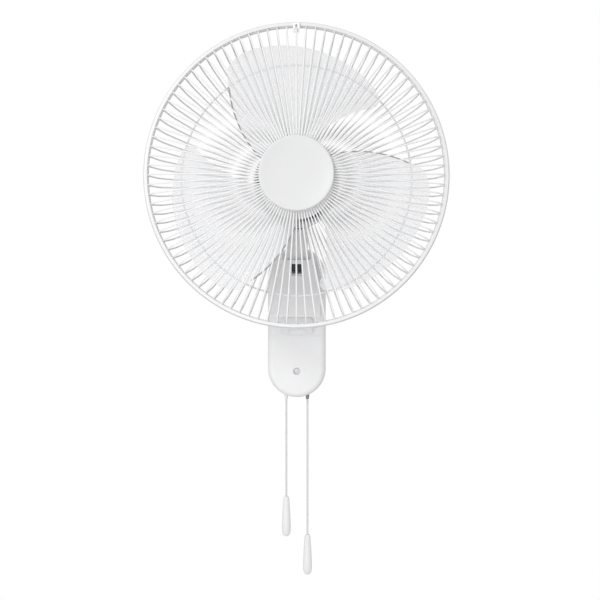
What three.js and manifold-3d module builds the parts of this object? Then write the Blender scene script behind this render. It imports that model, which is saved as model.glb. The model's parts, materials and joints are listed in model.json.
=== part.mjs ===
// Wall mounted fan with a swinging, tilting head and two pull cords.
// Millimetres. The origin is the centre of the wall face: +X right, +Z up, and the room is at -Y.
import * as THREE from 'three';
import { mergeVertices } from 'three/addons/utils/BufferGeometryUtils.js';
import Module from 'manifold-3d';

const wasm = await Module();
wasm.setup();

// ---- Fits -----------------------------------------------------------------------------
const GAP = 0.3; // between pieces that touch
const RUNNING_GAP = 0.3; // around a turning shaft

// ---- Wall base ------------------------------------------------------------------------
const BASE_WIDTH = 97;
const BASE_HEIGHT = 252;
const BASE_DEPTH = 58;
const BASE_WALL = 2.5;
const BASE_EDGE_RADIUS = 9; // round of the front edge
const BACK_SHELL_DEPTH = 22; // wall to the seam between the shells
const WALL_RECESS = 2.5; // floor of the back shell, in from the wall
const BRACKET_THICKNESS = 2;
const BRACKET_WIDTH = 56;
const BRACKET_HEIGHT = 176;
const BRACKET_HOLE_RADIUS = 2.5;
const BRACKET_HOLE_SPACING = 140;
const COVER_SEAM_Z = -22; // seam between the arm cover and the switch cover
const COVER_SCREW_RISE = 44; // cover screw above the lower end of the base
const SCREW_RECESS_RADIUS = 6.2;
const SCREW_RECESS_DEPTH = 6;

// ---- Arm and tilt hinge ---------------------------------------------------------------
const TILT_Y = -125;
const TILT_Z = 97;
const EAR_RADIUS = 16;
const EAR_THICKNESS = 6;
const ARM_WALL = 3;
const ARM_FOOT_HALF_WIDTH = 39.5;
const ARM_FOOT_Z = 8; // lower edge of the arm on the base
const ARM_BEND_Z = 26; // where the slanting underside turns down into the foot
const ARM_ROOT_TOP_Z = 66; // upper edge of the arm on the base
const ARM_FLARE_Z = 38; // where the arm has widened to the base
const ARM_LIP_REACH = 35; // front lip, forward of the tilt axis
const ARM_LIP_RISE = 3.3; // front lip, above the tilt axis
const ARM_WINDOW_WIDTH = 16;
const ARM_WINDOW_LOW = 75.6;
const ARM_WINDOW_HIGH = 93.9;
const ARM_WINDOW_RIM = 3.4;
const FOOT_CAP_WIDTH = 53;
const FOOT_CAP_HEIGHT = 27;
const FOOT_CAP_REACH = 9.7;
const FOOT_CAP_SLOPE = 9.5; // height of its slanting lower part
const FOOT_CAP_NOTCH_WIDTH = 26;
const FOOT_CAP_NOTCH_HEIGHT = 7.5;
const TILT_BOLT_RADIUS = 4;

// ---- Neck and swing -------------------------------------------------------------------
const NECK_HALF_WIDTH = 17.6;
const NECK_FRONT = 19; // forward of the tilt axis
const NECK_BACK = 22; // behind the tilt axis
const NECK_WALL = 2.5;
const NECK_RISE = 52; // top of the neck above the tilt axis
const NECK_SHOULDER = 5.8; // bottom front corner above the tilt axis
const NECK_KNUCKLE_RADIUS = 14.3;
const NECK_TOP_THICKNESS = 12;
const HINGE_SIDE_GAP = 1.6; // neck to ear, filled by a washer
const SPINDLE_RADIUS = 7;
const CRANK_DISTANCE = 8.8; // crank shaft behind the spindle
const CRANK_THROW = 6.2;
const CRANK_PIN_RADIUS = 1.3;

// ---- Motor ----------------------------------------------------------------------------
const AXIS_Z = 220; // fan axis above the origin
const HOUSING_RADIUS = 66;
const HOUSING_WALL = 2.5;
const HOUSING_BACK_Y = -78;
const FRONT_PLATE_Y = -167; // front face of the motor's front plate
const FRONT_PLATE_THICKNESS = 7;
const COLLAR_RADIUS = 16;
const COLLAR_LENGTH = 17;
const BEARING_RADIUS = 11.2;
const BEARING_WIDTH = 8;
const SHAFT_RADIUS = 4;
const STATOR_RADIUS = 48;
const STATOR_BORE = 24.6;
const STATOR_LENGTH = 26;
const STATOR_FRONT_Y = -148;
const AIR_GAP = 0.6;
const WINDING_LENGTH = 9.7;
const REAR_BRACKET_SETBACK = 16; // rear bracket, in from the housing's back
const REAR_COLLAR_LENGTH = 10;
const SWING_MOTOR_RADIUS = 14;

// ---- Guards ---------------------------------------------------------------------------
const RING_Y = -255; // plane where the two guards meet
const BAND_RADIUS = 225;
const BAND_WIDTH = 16;
const BAND_WALL = 2.6;
const RING_SECTION = 4.7; // square section of each guard's outer wire
const WIRE_COUNT = 96;
const WIRE_RADIUS = 1.1;
const WIRE_SEAT = 2.6; // end of each wire on its ring, from the ring plane
const FRONT_BEND = [1, 8.5]; // bends of the front wires, in from the ring and forward
const FRONT_SHOULDER = [9.5, 16];
const FRONT_DISH = 24; // middle of the front plate, forward of the ring plane
const REAR_SHOULDER = [10.5, 34.5]; // bend of the rear wires, in from the ring and back
const SUPPORT_RADIUS = 176; // ring that ties the rear wires
const SUPPORT_DEPTH = 58.5;
const FRONT_PLATE_RADIUS = 55; // plate in the middle of the front guard
const CAP_RADIUS = 54.6;
const CAP_HEIGHT = 8;
const CAP_DISH = 4; // middle of the cap's face, behind its rim
const REAR_HUB_THICKNESS = 3.4;
const GUARD_NUT_RADIUS = 30;
const GUARD_NUT_LENGTH = 9;
const RING_SEGMENTS = 48;

// ---- Blades ---------------------------------------------------------------------------
const BLADE_COUNT = 3;
const BLADE_RADIUS = 201;
const BLADE_THICKNESS = 2.4;
const SWEEP_START_RADIUS = 62;
const EDGE_SWEEP = 33; // degrees that both edges sweep back, from there to the tip
const TIP_TAPER = 26; // tip radius lost from the trailing to the leading side
const TIP_CORNER = 13; // tip radius lost in the round of each corner
const ROOT_DROP = 7; // root of a blade behind its outer part
const BLADE_FRONT = 7; // trailing edge, behind the ring plane
const BLADE_SWEEP_DEPTH = 33; // leading edge, behind the trailing edge
const HUB_RADIUS = 46;
const HUB_FRONT = 8; // front of the hub, behind the ring plane
const HUB_LENGTH = 44;
const HUB_WALL = 3;

// ---- Pull cords -----------------------------------------------------------------------
const CORD_X = 18;
const CORD_Y = -31;
const CORD_RADIUS = 1.7;
const PULL_TRAVEL = 12;
const GUIDE_DROP = 5; // cord guide below the base
const GUIDE_LENGTH = 25;
const HANDLE_LENGTH = 68;
const HANDLE_RADIUS = 7.5;
const SPEED_HANDLE_TOP_Z = -361; // right cord
const SWING_HANDLE_TOP_Z = -296; // left cord
const SWITCH_RISE = 27; // switches above the lower end of the base
const SWITCH_HEIGHT = 49;
const SWITCH_WIDTH = 23;
const SWITCH_FRONT_Y = -43;
const SWITCH_BACK_Y = -17;

// ---- Finishes -------------------------------------------------------------------------
const finish = (color, roughness, metalness = 0) =>
  new THREE.MeshStandardMaterial({ color, roughness, metalness });
const whiteShell = finish(0xf1f1f2, 0.38);
const whiteWire = finish(0xf4f4f5, 0.42);
const bladeTint = finish(0xd9dae3, 0.25);
const whiteCord = finish(0xe6e6e8, 0.7);
const darkPlastic = finish(0x2d2e30, 0.55);
const zincSteel = finish(0xb9bcc0, 0.35, 1);
const darkSteel = finish(0x6c6f74, 0.45, 1);
const copperWire = finish(0xb06a38, 0.4, 1);
const brass = finish(0xc9a355, 0.35, 1);
const castAluminium = finish(0xa9acb0, 0.5, 1);

// ---- Solid helpers --------------------------------------------------------------------
const circleSteps = { small: 8, medium: 16, large: 28 };

function solidOf(geometry) {
  const bare = geometry.clone();
  bare.deleteAttribute('normal');
  bare.deleteAttribute('uv');
  const merged = mergeVertices(bare, 1e-4);
  const source = merged.index.array;
  const triangles = [];
  for (let i = 0; i < source.length; i += 3) {
    const [a, b, c] = [source[i], source[i + 1], source[i + 2]];
    if (a !== b && b !== c && c !== a) triangles.push(a, b, c);
  }
  const points = merged.attributes.position.array;
  if (signedVolume(points, triangles) < 0) {
    for (let i = 0; i < triangles.length; i += 3) {
      [triangles[i + 1], triangles[i + 2]] = [triangles[i + 2], triangles[i + 1]];
    }
  }
  const mesh = new wasm.Mesh({
    numProp: 3,
    vertProperties: Float32Array.from(points),
    triVerts: Uint32Array.from(triangles),
  });
  return new wasm.Manifold(mesh);
}

function signedVolume(points, triangles) {
  const corner = (k) => new THREE.Vector3().fromArray(points, 3 * triangles[k]);
  let volume = 0;
  for (let i = 0; i < triangles.length; i += 3) {
    volume += corner(i).dot(corner(i + 1).cross(corner(i + 2))) / 6;
  }
  return volume;
}

function geometryOf(solid) {
  const mesh = solid.getMesh();
  const points = [];
  for (let i = 0; i < mesh.numVert; i += 1) {
    points.push(...mesh.vertProperties.slice(i * mesh.numProp, i * mesh.numProp + 3));
  }
  const geometry = new THREE.BufferGeometry();
  geometry.setAttribute('position', new THREE.Float32BufferAttribute(points, 3));
  geometry.setIndex(Array.from(mesh.triVerts));
  geometry.computeVertexNormals();
  return geometry;
}

const join = (...solids) => solids.reduce((whole, solid) => whole.add(solid));
const cut = (solid, ...tools) => tools.reduce((rest, tool) => rest.subtract(tool), solid);

function piece(name, solid, material) {
  const mesh = new THREE.Mesh(geometryOf(solid), material);
  mesh.name = name;
  return mesh;
}

// A block between two corners.
function block(x, y, z) {
  const geometry = new THREE.BoxGeometry(x[1] - x[0], y[1] - y[0], z[1] - z[0]);
  geometry.translate((x[0] + x[1]) / 2, (y[0] + y[1]) / 2, (z[0] + z[1]) / 2);
  return solidOf(geometry);
}

// A profile of [radius, height] pairs turned about the Y, Z or X axis through a point.
function turned(profile, steps, axis = 'y', place = [0, 0, 0]) {
  const points = profile.map(([radius, height]) => new THREE.Vector2(radius, height));
  if (profile[0][0] > 0) points.push(points[0].clone());
  const geometry = new THREE.LatheGeometry(points, steps);
  if (axis === 'z') geometry.rotateX(Math.PI / 2);
  if (axis === 'x') geometry.rotateZ(-Math.PI / 2);
  geometry.translate(...place);
  return solidOf(geometry);
}

const rod = (radius, low, high, steps, axis, place) =>
  turned([[0, low], [radius, low], [radius, high], [0, high]], steps, axis, place);
const tube = (inner, outer, low, high, steps, axis, place) =>
  turned([[inner, low], [outer, low], [outer, high], [inner, high]], steps, axis, place);

// An outline seen from the room, as [x, z] pairs, run from the back to the front.
function frontSlab(outline, yBack, yFront) {
  const shape = new THREE.Shape(outline.map(([x, z]) => new THREE.Vector2(x, z)));
  const geometry = new THREE.ExtrudeGeometry(shape, { depth: yBack - yFront, bevelEnabled: false });
  geometry.rotateX(Math.PI / 2);
  geometry.translate(0, yBack, 0);
  return solidOf(geometry);
}

// An outline seen from the side, as [y, z] pairs, run from one x to another.
function sideSlab(outline, xLow, xHigh) {
  const shape = new THREE.Shape(outline.map(([y, z]) => new THREE.Vector2(y, z)));
  const geometry = new THREE.ExtrudeGeometry(shape, { depth: xHigh - xLow, bevelEnabled: false });
  const toSide = new THREE.Matrix4().makeBasis(
    new THREE.Vector3(0, 1, 0),
    new THREE.Vector3(0, 0, 1),
    new THREE.Vector3(1, 0, 0),
  );
  geometry.applyMatrix4(toSide);
  geometry.translate(xLow, 0, 0);
  return solidOf(geometry);
}

// A closed skin through rings that all have the same number of points. Each end is closed by
// a strip between the first and the second half of its ring.
function loft(rings) {
  const count = rings[0].length;
  const points = rings.flat();
  const triangles = [];
  for (let j = 0; j + 1 < rings.length; j += 1) {
    for (let i = 0; i < count; i += 1) {
      const next = (i + 1) % count;
      const [a, b] = [j * count + i, j * count + next];
      triangles.push(a, b, b + count, a, b + count, a + count);
    }
  }
  for (const j of [0, rings.length - 1]) {
    const close = (...corners) => {
      const face = corners.map((i) => j * count + i);
      triangles.push(...(j === 0 ? face.reverse() : face));
    };
    for (let low = 0, high = count - 1; low + 1 < high; low += 1, high -= 1) {
      close(low, low + 1, high);
      if (low + 1 < high - 1) close(low + 1, high - 1, high);
    }
  }
  const geometry = new THREE.BufferGeometry();
  geometry.setAttribute('position', new THREE.Float32BufferAttribute(points.flatMap((p) => p.toArray()), 3));
  geometry.setIndex(triangles);
  return solidOf(geometry);
}

const pointsOnArc = (centre, radius, from, to, steps) =>
  Array.from({ length: steps + 1 }, (_, i) => {
    const angle = THREE.MathUtils.degToRad(from + ((to - from) * i) / steps);
    return [centre[0] + radius * Math.cos(angle), centre[1] + radius * Math.sin(angle)];
  });

// ---- Wall base ------------------------------------------------------------------------
// Outline of the base, drawn in from its edge by an inset.
function baseOutline(inset) {
  const radius = BASE_WIDTH / 2 - inset;
  const centre = BASE_HEIGHT / 2 - BASE_WIDTH / 2;
  const steps = 12;
  return [
    ...pointsOnArc([0, centre], radius, 0, 180, steps),
    ...pointsOnArc([0, -centre], radius, 180, 360, steps),
  ];
}

function baseBody(yBack, yFront, inset, edgeRadius) {
  const ring = (extra, y) => baseOutline(inset + extra).map(([x, z]) => new THREE.Vector3(x, y, z));
  const edgeSteps = 4;
  const edge = Array.from({ length: edgeSteps + 1 }, (_, i) => {
    const angle = (Math.PI / 2) * (i / edgeSteps);
    return ring(edgeRadius * (1 - Math.cos(angle)), yFront + edgeRadius * (1 - Math.sin(angle)));
  });
  return loft([ring(0, yBack), ...edge]);
}

const seamY = -BACK_SHELL_DEPTH;
const floorBackY = -WALL_RECESS;
const floorFrontY = floorBackY - BASE_WALL;
const coverInnerY = -BASE_DEPTH + BASE_WALL;
const recessFloorY = -BASE_DEPTH + SCREW_RECESS_DEPTH;
const recessBackY = recessFloorY + BASE_WALL;
const screwPlace = [0, 0, -BASE_HEIGHT / 2 + COVER_SCREW_RISE];
const coverHoleRadius = 2.3;

const hookWidth = 12;
const hookX = 18;
const hookInset = 26; // hooks from the bracket's ends
const hookZ = BRACKET_HEIGHT / 2 - hookInset;
const hookHeight = 9;
const hookRoom = 1; // around a hook in its slot

function makeWallBracket() {
  const [halfWidth, halfHeight] = [BRACKET_WIDTH / 2, BRACKET_HEIGHT / 2];
  const hookFrontY = floorFrontY - GAP - BRACKET_THICKNESS;
  let bracket = block([-halfWidth, halfWidth], [-BRACKET_THICKNESS, 0], [-halfHeight, halfHeight]);
  for (const x of [-hookX, hookX]) {
    for (const z of [-hookZ, hookZ]) {
      const side = [x - hookWidth / 2, x + hookWidth / 2];
      const stem = block(side, [hookFrontY, -BRACKET_THICKNESS / 2], [z, z + BRACKET_THICKNESS]);
      const lip = block(side, [hookFrontY, hookFrontY + BRACKET_THICKNESS], [z, z + hookHeight]);
      bracket = join(bracket, stem, lip);
    }
  }
  for (const z of [-BRACKET_HOLE_SPACING / 2, BRACKET_HOLE_SPACING / 2]) {
    const hole = rod(BRACKET_HOLE_RADIUS, -BRACKET_THICKNESS * 2, BRACKET_THICKNESS, circleSteps.small,
      'y', [0, 0, z]);
    bracket = cut(bracket, hole);
  }
  return piece('wall_bracket', bracket, zincSteel);
}

const glandY = -BACK_SHELL_DEPTH / 2 - 2.5;
const glandRadius = 5.6;
const glandBore = 3.2;
const glandTopZ = -BASE_HEIGHT / 2 + 8;
const glandLowZ = -BASE_HEIGHT / 2 - 2;
const postRadius = 5;

function makeBackShell() {
  const outside = baseBody(0, seamY, 0, 0.01);
  const skirtRoom = baseBody(floorFrontY, seamY - 1, BASE_WALL, 0.01);
  const wallRoom = baseBody(1, floorBackY, BASE_WALL, 0.01);
  const post = rod(postRadius, recessBackY + GAP, floorFrontY + BASE_WALL / 2, circleSteps.small,
    'y', screwPlace);
  const postBore = rod(coverHoleRadius, recessBackY - 1, floorFrontY - BASE_WALL, circleSteps.small,
    'y', screwPlace);
  const glandHole = rod(glandRadius + GAP, glandLowZ - 5, glandTopZ + 5, circleSteps.small,
    'z', [0, glandY, 0]);
  let shell = cut(join(cut(outside, skirtRoom, wallRoom), post), postBore, glandHole);
  for (const x of [-hookX, hookX]) {
    for (const z of [-hookZ, hookZ]) {
      const halfSlot = hookWidth / 2 + hookRoom;
      shell = cut(shell, block([x - halfSlot, x + halfSlot], [floorFrontY - 1, floorBackY + 1],
        [z - hookRoom, z + hookHeight + hookRoom]));
    }
  }
  return piece('base_back_shell', shell, whiteShell);
}

const armScrewX = 24;
const armScrewZ = 40;
const armScrewRadius = 2.2;
const cordHoleRadius = 3.7;

function coverShell() {
  const outside = baseBody(seamY - GAP, -BASE_DEPTH, 0, BASE_EDGE_RADIUS);
  const inside = baseBody(seamY + 1, coverInnerY, BASE_WALL, BASE_EDGE_RADIUS - BASE_WALL);
  const recessCup = rod(SCREW_RECESS_RADIUS + BASE_WALL, -BASE_DEPTH + BASE_WALL / 2, recessBackY,
    circleSteps.medium, 'y', screwPlace);
  const recess = rod(SCREW_RECESS_RADIUS, -BASE_DEPTH - 1, recessFloorY, circleSteps.medium, 'y',
    screwPlace);
  const screwHole = rod(coverHoleRadius, -BASE_DEPTH, recessBackY + 1, circleSteps.small, 'y', screwPlace);
  let shell = cut(join(cut(outside, inside), recessCup), recess, screwHole);
  for (const side of [-1, 1]) {
    const armScrewHole = rod(armScrewRadius + GAP, -BASE_DEPTH - 1, coverInnerY + 1, circleSteps.small,
      'y', [side * armScrewX, 0, armScrewZ]);
    const cordHole = rod(cordHoleRadius, -BASE_HEIGHT / 2 - 5, -BASE_HEIGHT / 2 + 12, circleSteps.small,
      'z', [side * CORD_X, CORD_Y, 0]);
    shell = cut(shell, armScrewHole, cordHole);
  }
  return shell;
}

// Everything above or below a height, as a tool that cuts a shell in two.
const above = (z) => block([-BASE_WIDTH, BASE_WIDTH], [-2 * BASE_DEPTH, BASE_DEPTH], [z, z + BASE_HEIGHT]);
const below = (z) => block([-BASE_WIDTH, BASE_WIDTH], [-2 * BASE_DEPTH, BASE_DEPTH], [z - BASE_HEIGHT, z]);

function makeScrew(name, radius, headRadius, headHeight, tip, head, axis, place) {
  const direction = Math.sign(head - tip);
  const low = tip;
  const outline = [
    [0, low], [radius * 0.4, low], [radius, low + direction * radius],
    [radius, head], [headRadius, head], [headRadius, head + direction * headHeight * 0.6],
    [headRadius * 0.7, head + direction * headHeight], [0, head + direction * headHeight],
  ];
  return piece(name, turned(outline, circleSteps.small, axis, place), zincSteel);
}

function makeCordGland() {
  const flange = 1.6;
  const flangeZ = -BASE_HEIGHT / 2 + BASE_WALL + GAP + 0.8; // clear of the round of the shell
  const outline = [
    [glandBore, glandLowZ], [glandRadius - 1, glandLowZ], [glandRadius, glandLowZ + 2],
    [glandRadius, flangeZ], [glandRadius + 1.8, flangeZ], [glandRadius + 1.8, flangeZ + flange],
    [glandBore, glandTopZ],
  ];
  return piece('cable_gland', turned(outline, circleSteps.small, 'z', [0, glandY, 0]), darkPlastic);
}

// ---- Switches and electrical pieces inside the base -------------------------------------
const switchBracketY = SWITCH_BACK_Y + GAP; // front face of the bracket that carries the switches
const switchLowZ = -BASE_HEIGHT / 2 + SWITCH_RISE;
const switchTopZ = switchLowZ + SWITCH_HEIGHT;
const switchBracketTopZ = switchTopZ + 6;
const guideLowZ = -BASE_HEIGHT / 2 - GUIDE_DROP;
const plungerRadius = 3.6;
const plungerRodRadius = 1.5;
const plungerLowZ = guideLowZ + PULL_TRAVEL + 1;
const springLength = 28;
const springLowZ = switchLowZ + 3;
const collarLowZ = springLowZ + springLength + GAP;
const collarTopZ = collarLowZ + 4;

function makeSwitchBracket() {
  const [lowZ, topZ] = [switchLowZ - 5, switchBracketTopZ];
  const sheet = 1.6;
  const legY = floorFrontY - GAP;
  const outline = [
    [legY, lowZ], [legY, lowZ + sheet], [switchBracketY + sheet, lowZ + sheet],
    [switchBracketY + sheet, topZ - sheet], [legY, topZ - sheet], [legY, topZ],
    [switchBracketY, topZ], [switchBracketY, lowZ],
  ];
  const halfWidth = CORD_X + SWITCH_WIDTH / 2 + 2;
  const postHole = rod(postRadius + 0.6, switchBracketY - 2, switchBracketY + 4, circleSteps.small,
    'y', screwPlace);
  return piece('switch_bracket', cut(sideSlab(outline, -halfWidth, halfWidth), postHole), zincSteel);
}

function makeSwitchBody(name, x) {
  const half = SWITCH_WIDTH / 2;
  const centreY = CORD_Y;
  const body = block([x - half, x + half], [SWITCH_FRONT_Y, SWITCH_BACK_Y], [switchLowZ, switchTopZ]);
  const chamber = rod(plungerRadius + 0.4, springLowZ - GAP, switchTopZ - 2.5, circleSteps.small,
    'z', [x, centreY, 0]);
  const mouth = rod(plungerRodRadius + 0.4, switchLowZ - 1, springLowZ, circleSteps.small,
    'z', [x, centreY, 0]);
  return piece(name, cut(body, chamber, mouth), darkPlastic);
}

function makePlunger(name, x) {
  const outline = [
    [0, plungerLowZ], [plungerRodRadius, plungerLowZ], [plungerRodRadius, collarLowZ],
    [plungerRadius, collarLowZ], [plungerRadius, collarTopZ], [plungerRodRadius, collarTopZ],
    [plungerRodRadius, collarTopZ + 6], [0, collarTopZ + 6],
  ];
  return piece(name, turned(outline, circleSteps.small, 'z', [x, CORD_Y, 0]), darkPlastic);
}

function makeSwitchSpring(name, x) {
  const wall = tube(plungerRodRadius + 0.5, plungerRadius - 0.4, springLowZ, springLowZ + springLength,
    circleSteps.small, 'z', [x, CORD_Y, 0]);
  return piece(name, wall, zincSteel);
}

function makeCordGuide(name, x, finishOfGuide) {
  const bore = CORD_RADIUS + GAP;
  const neckRadius = cordHoleRadius - GAP;
  const coneLength = GUIDE_DROP + 4;
  const flangeZ = -BASE_HEIGHT / 2 + 11;
  const outline = [
    [bore, guideLowZ], [bore + 0.4, guideLowZ], [neckRadius, guideLowZ + coneLength],
    [neckRadius, flangeZ], [neckRadius + 1.8, flangeZ], [neckRadius + 1.8, flangeZ + 2],
    [neckRadius, flangeZ + 2], [neckRadius, guideLowZ + GUIDE_LENGTH],
    [bore, guideLowZ + GUIDE_LENGTH],
  ];
  return piece(name, turned(outline, circleSteps.small, 'z', [x, CORD_Y, 0]), finishOfGuide);
}

const capacitorLowZ = switchBracketTopZ + 10;
const capacitorTopZ = capacitorLowZ + 28;

function makeTerminalBlock() {
  const [width, depth, height, poleCount, poleRadius] = [42, 16, 18, 4, 2.6];
  const [lowZ, y] = [capacitorTopZ + 20, floorFrontY - GAP];
  let body = block([-width / 2, width / 2], [y - depth, y], [lowZ, lowZ + height]);
  for (let i = 0; i < poleCount; i += 1) {
    const x = (width / poleCount) * (i + 0.5) - width / 2;
    const pole = rod(poleRadius, y - depth - 1, y - depth / 2, circleSteps.small, 'y',
      [x, 0, lowZ + height / 2]);
    body = cut(body, pole);
  }
  return piece('terminal_block', body, darkPlastic);
}

function makeCapacitor() {
  const [halfWidth, depth, corner] = [19, 18, 3];
  const [lowZ, topZ] = [capacitorLowZ, capacitorTopZ];
  const y = floorFrontY - GAP;
  const outline = [
    [-halfWidth, lowZ + corner], [-halfWidth + corner, lowZ], [halfWidth - corner, lowZ],
    [halfWidth, lowZ + corner], [halfWidth, topZ - corner], [halfWidth - corner, topZ],
    [-halfWidth + corner, topZ], [-halfWidth, topZ - corner],
  ];
  return piece('capacitor', frontSlab(outline, y, y - depth), darkPlastic);
}

// ---- Arm and tilt hinge -----------------------------------------------------------------
const armBackY = -BASE_DEPTH - GAP;
const earInner = NECK_HALF_WIDTH + HINGE_SIDE_GAP;
const earOuter = earInner + EAR_THICKNESS;
const lipY = TILT_Y - ARM_LIP_REACH;
const lipZ = TILT_Z + ARM_LIP_RISE;
const footY = armBackY - ARM_WALL;
const tiltPlace = [0, TILT_Y, TILT_Z];
const boltHeadRadius = 7.5;

// The slanting underside of the arm, from the lip down to the foot.
function armUnderside(shiftY, shiftZ) {
  const curve = new THREE.QuadraticBezierCurve(
    new THREE.Vector2(lipY, lipZ),
    new THREE.Vector2(footY, ARM_BEND_Z),
    new THREE.Vector2(footY, ARM_FOOT_Z),
  );
  return curve.getPoints(8).map((point) => [point.x + shiftY, point.y + shiftZ]);
}

// The arm as it is seen from the room, drawn in by an inset.
function armFront(inset, lowZ) {
  const foot = ARM_FOOT_HALF_WIDTH - inset;
  const flare = ARM_FOOT_HALF_WIDTH - 1 - inset;
  const top = earOuter - inset;
  const topZ = TILT_Z + EAR_RADIUS + 1;
  const cheekZ = TILT_Z - boltHeadRadius - 1; // flat beside the bolt head above this
  return [
    [-foot, lowZ], [foot, lowZ], [flare, ARM_FLARE_Z], [top, cheekZ],
    [top, topZ], [-top, topZ], [-top, cheekZ], [-flare, ARM_FLARE_Z],
  ];
}

function makeArm() {
  const pocketFrontY = lipY + 5;
  const pocketBackY = TILT_Y + NECK_BACK + 2;
  const earBaseZ = TILT_Z - 19; // the ears are solid above this
  const rearZ = TILT_Z - 9;
  const outline = [
    [armBackY, ARM_FOOT_Z], ...armUnderside(0, 0).reverse(), [pocketFrontY, lipZ],
    [TILT_Y - EAR_RADIUS, lipZ - 2], [TILT_Y + EAR_RADIUS + 6, rearZ], [armBackY, ARM_ROOT_TOP_Z],
  ];
  const earSteps = 23;
  const ear = pointsOnArc([TILT_Y, TILT_Z], EAR_RADIUS, 0, 360 * (1 - 1 / (earSteps + 1)), earSteps);
  const earBlocks = [-1, 1].map((side) => {
    const faces = [side * earInner, side * earOuter].sort((a, b) => a - b);
    return sideSlab(ear, ...faces);
  });
  const front = frontSlab(armFront(0, ARM_FOOT_Z - 1), BASE_DEPTH, lipY - 20);
  const skin = join(sideSlab(outline, -BASE_WIDTH, BASE_WIDTH), ...earBlocks).intersect(front);

  // The rim round the window stands a little proud of the underside.
  const rimHalf = ARM_WINDOW_WIDTH / 2 + ARM_WINDOW_RIM;
  const rimProud = [-1.1, -0.5];
  const rimOutline = [...armUnderside(...rimProud), ...armUnderside(0.5, 0.5).reverse()];
  const rim = sideSlab(rimOutline, -rimHalf, rimHalf).intersect(
    above(ARM_WINDOW_LOW - ARM_WINDOW_RIM));
  const window = block([-ARM_WINDOW_WIDTH / 2, ARM_WINDOW_WIDTH / 2], [lipY - 20, TILT_Y],
    [ARM_WINDOW_LOW, ARM_WINDOW_HIGH]);

  const inner = armUnderside(ARM_WALL, ARM_WALL / 2);
  const openBackY = 0;
  const innerFootZ = inner.at(-1)[1];
  const hollowOutline = [
    [openBackY, innerFootZ], ...inner.reverse(), [pocketFrontY, lipZ + ARM_WALL],
    [pocketBackY, rearZ - ARM_WALL], [armBackY, ARM_ROOT_TOP_Z - ARM_WALL],
    [openBackY, ARM_ROOT_TOP_Z - ARM_WALL],
  ];
  const hollow = sideSlab(hollowOutline, -BASE_WIDTH, BASE_WIDTH)
    .intersect(frontSlab(armFront(ARM_WALL, 0), BASE_DEPTH, lipY))
    .intersect(below(earBaseZ));
  const pocketOutline = [
    ...armUnderside(ARM_WALL, ARM_WALL / 2).filter(([y]) => y > pocketFrontY && y < pocketBackY),
    [pocketBackY, earBaseZ - 20], [pocketBackY, TILT_Z + EAR_RADIUS + 2],
    [pocketFrontY, TILT_Z + EAR_RADIUS + 2], [pocketFrontY, lipZ - ARM_WALL],
  ];
  const pocket = sideSlab(pocketOutline, -earInner, earInner);
  const bolt = rod(TILT_BOLT_RADIUS + GAP, -BASE_WIDTH, BASE_WIDTH, circleSteps.medium, 'x', tiltPlace);

  let arm = cut(join(skin, rim), hollow, pocket, window, bolt);
  for (const side of [-1, 1]) {
    const place = [side * armScrewX, 0, armScrewZ];
    const boss = rod(armScrewRadius + 3, armBackY, armBackY - 26, circleSteps.small, 'y', place);
    const bore = rod(armScrewRadius + GAP, armBackY + 1, armBackY - 14, circleSteps.small, 'y', place);
    arm = cut(join(arm, boss.intersect(skin)), bore);
  }
  return piece('arm', arm, whiteShell);
}

function makeArmFootCap() {
  const [lowZ, topZ] = [ARM_FOOT_Z - GAP - FOOT_CAP_HEIGHT, ARM_FOOT_Z - GAP];
  const half = FOOT_CAP_WIDTH / 2;
  const corner = 6;
  const lip = 1.6; // what is left of it along its lower edge
  const side = [
    [armBackY, lowZ], [armBackY - lip, lowZ], [armBackY - FOOT_CAP_REACH + 1, lowZ + FOOT_CAP_SLOPE],
    [armBackY - FOOT_CAP_REACH, lowZ + FOOT_CAP_SLOPE + 2],
    [armBackY - FOOT_CAP_REACH * 0.8, lowZ + FOOT_CAP_SLOPE + 8], [armBackY - 4, topZ - 3],
    [armBackY - 2.5, topZ], [armBackY, topZ],
  ];
  const front = [
    ...pointsOnArc([half - corner, topZ - corner], corner, 0, 90, 3),
    ...pointsOnArc([corner - half, topZ - corner], corner, 90, 180, 3),
    ...pointsOnArc([corner / 2 - half, lowZ + corner / 2], corner / 2, 180, 270, 2),
    ...pointsOnArc([half - corner / 2, lowZ + corner / 2], corner / 2, 270, 360, 2),
  ];
  const cap = sideSlab(side, -half, half).intersect(frontSlab(front, 0, -2 * BASE_DEPTH));
  const notch = block([-FOOT_CAP_NOTCH_WIDTH / 2, FOOT_CAP_NOTCH_WIDTH / 2],
    [armBackY - 2 * FOOT_CAP_REACH, armBackY - lip], [lowZ - 1, lowZ + FOOT_CAP_NOTCH_HEIGHT]);
  return piece('arm_foot_cap', cut(cap, notch), whiteShell);
}

const washerRadius = 9;
function makeHingeWasher(name, side) {
  const near = NECK_HALF_WIDTH + GAP;
  const far = earInner - GAP;
  const [low, high] = [side * near, side * far].sort((a, b) => a - b);
  const ring = tube(TILT_BOLT_RADIUS + GAP, washerRadius, low, high, circleSteps.medium, 'x', tiltPlace);
  return piece(name, ring, darkSteel);
}

const nutThickness = 4;
function makeTiltBolt() {
  const tip = -earOuter - nutThickness - 1;
  const outline = [
    [0, tip], [TILT_BOLT_RADIUS - 0.6, tip], [TILT_BOLT_RADIUS, tip + 1], [TILT_BOLT_RADIUS, earOuter + GAP],
    [boltHeadRadius, earOuter + GAP], [boltHeadRadius, earOuter + 1.6], [boltHeadRadius - 2, earOuter + 2.8],
    [0, earOuter + 2.8],
  ];
  return piece('tilt_bolt', turned(outline, circleSteps.medium, 'x', tiltPlace), zincSteel);
}

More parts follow.
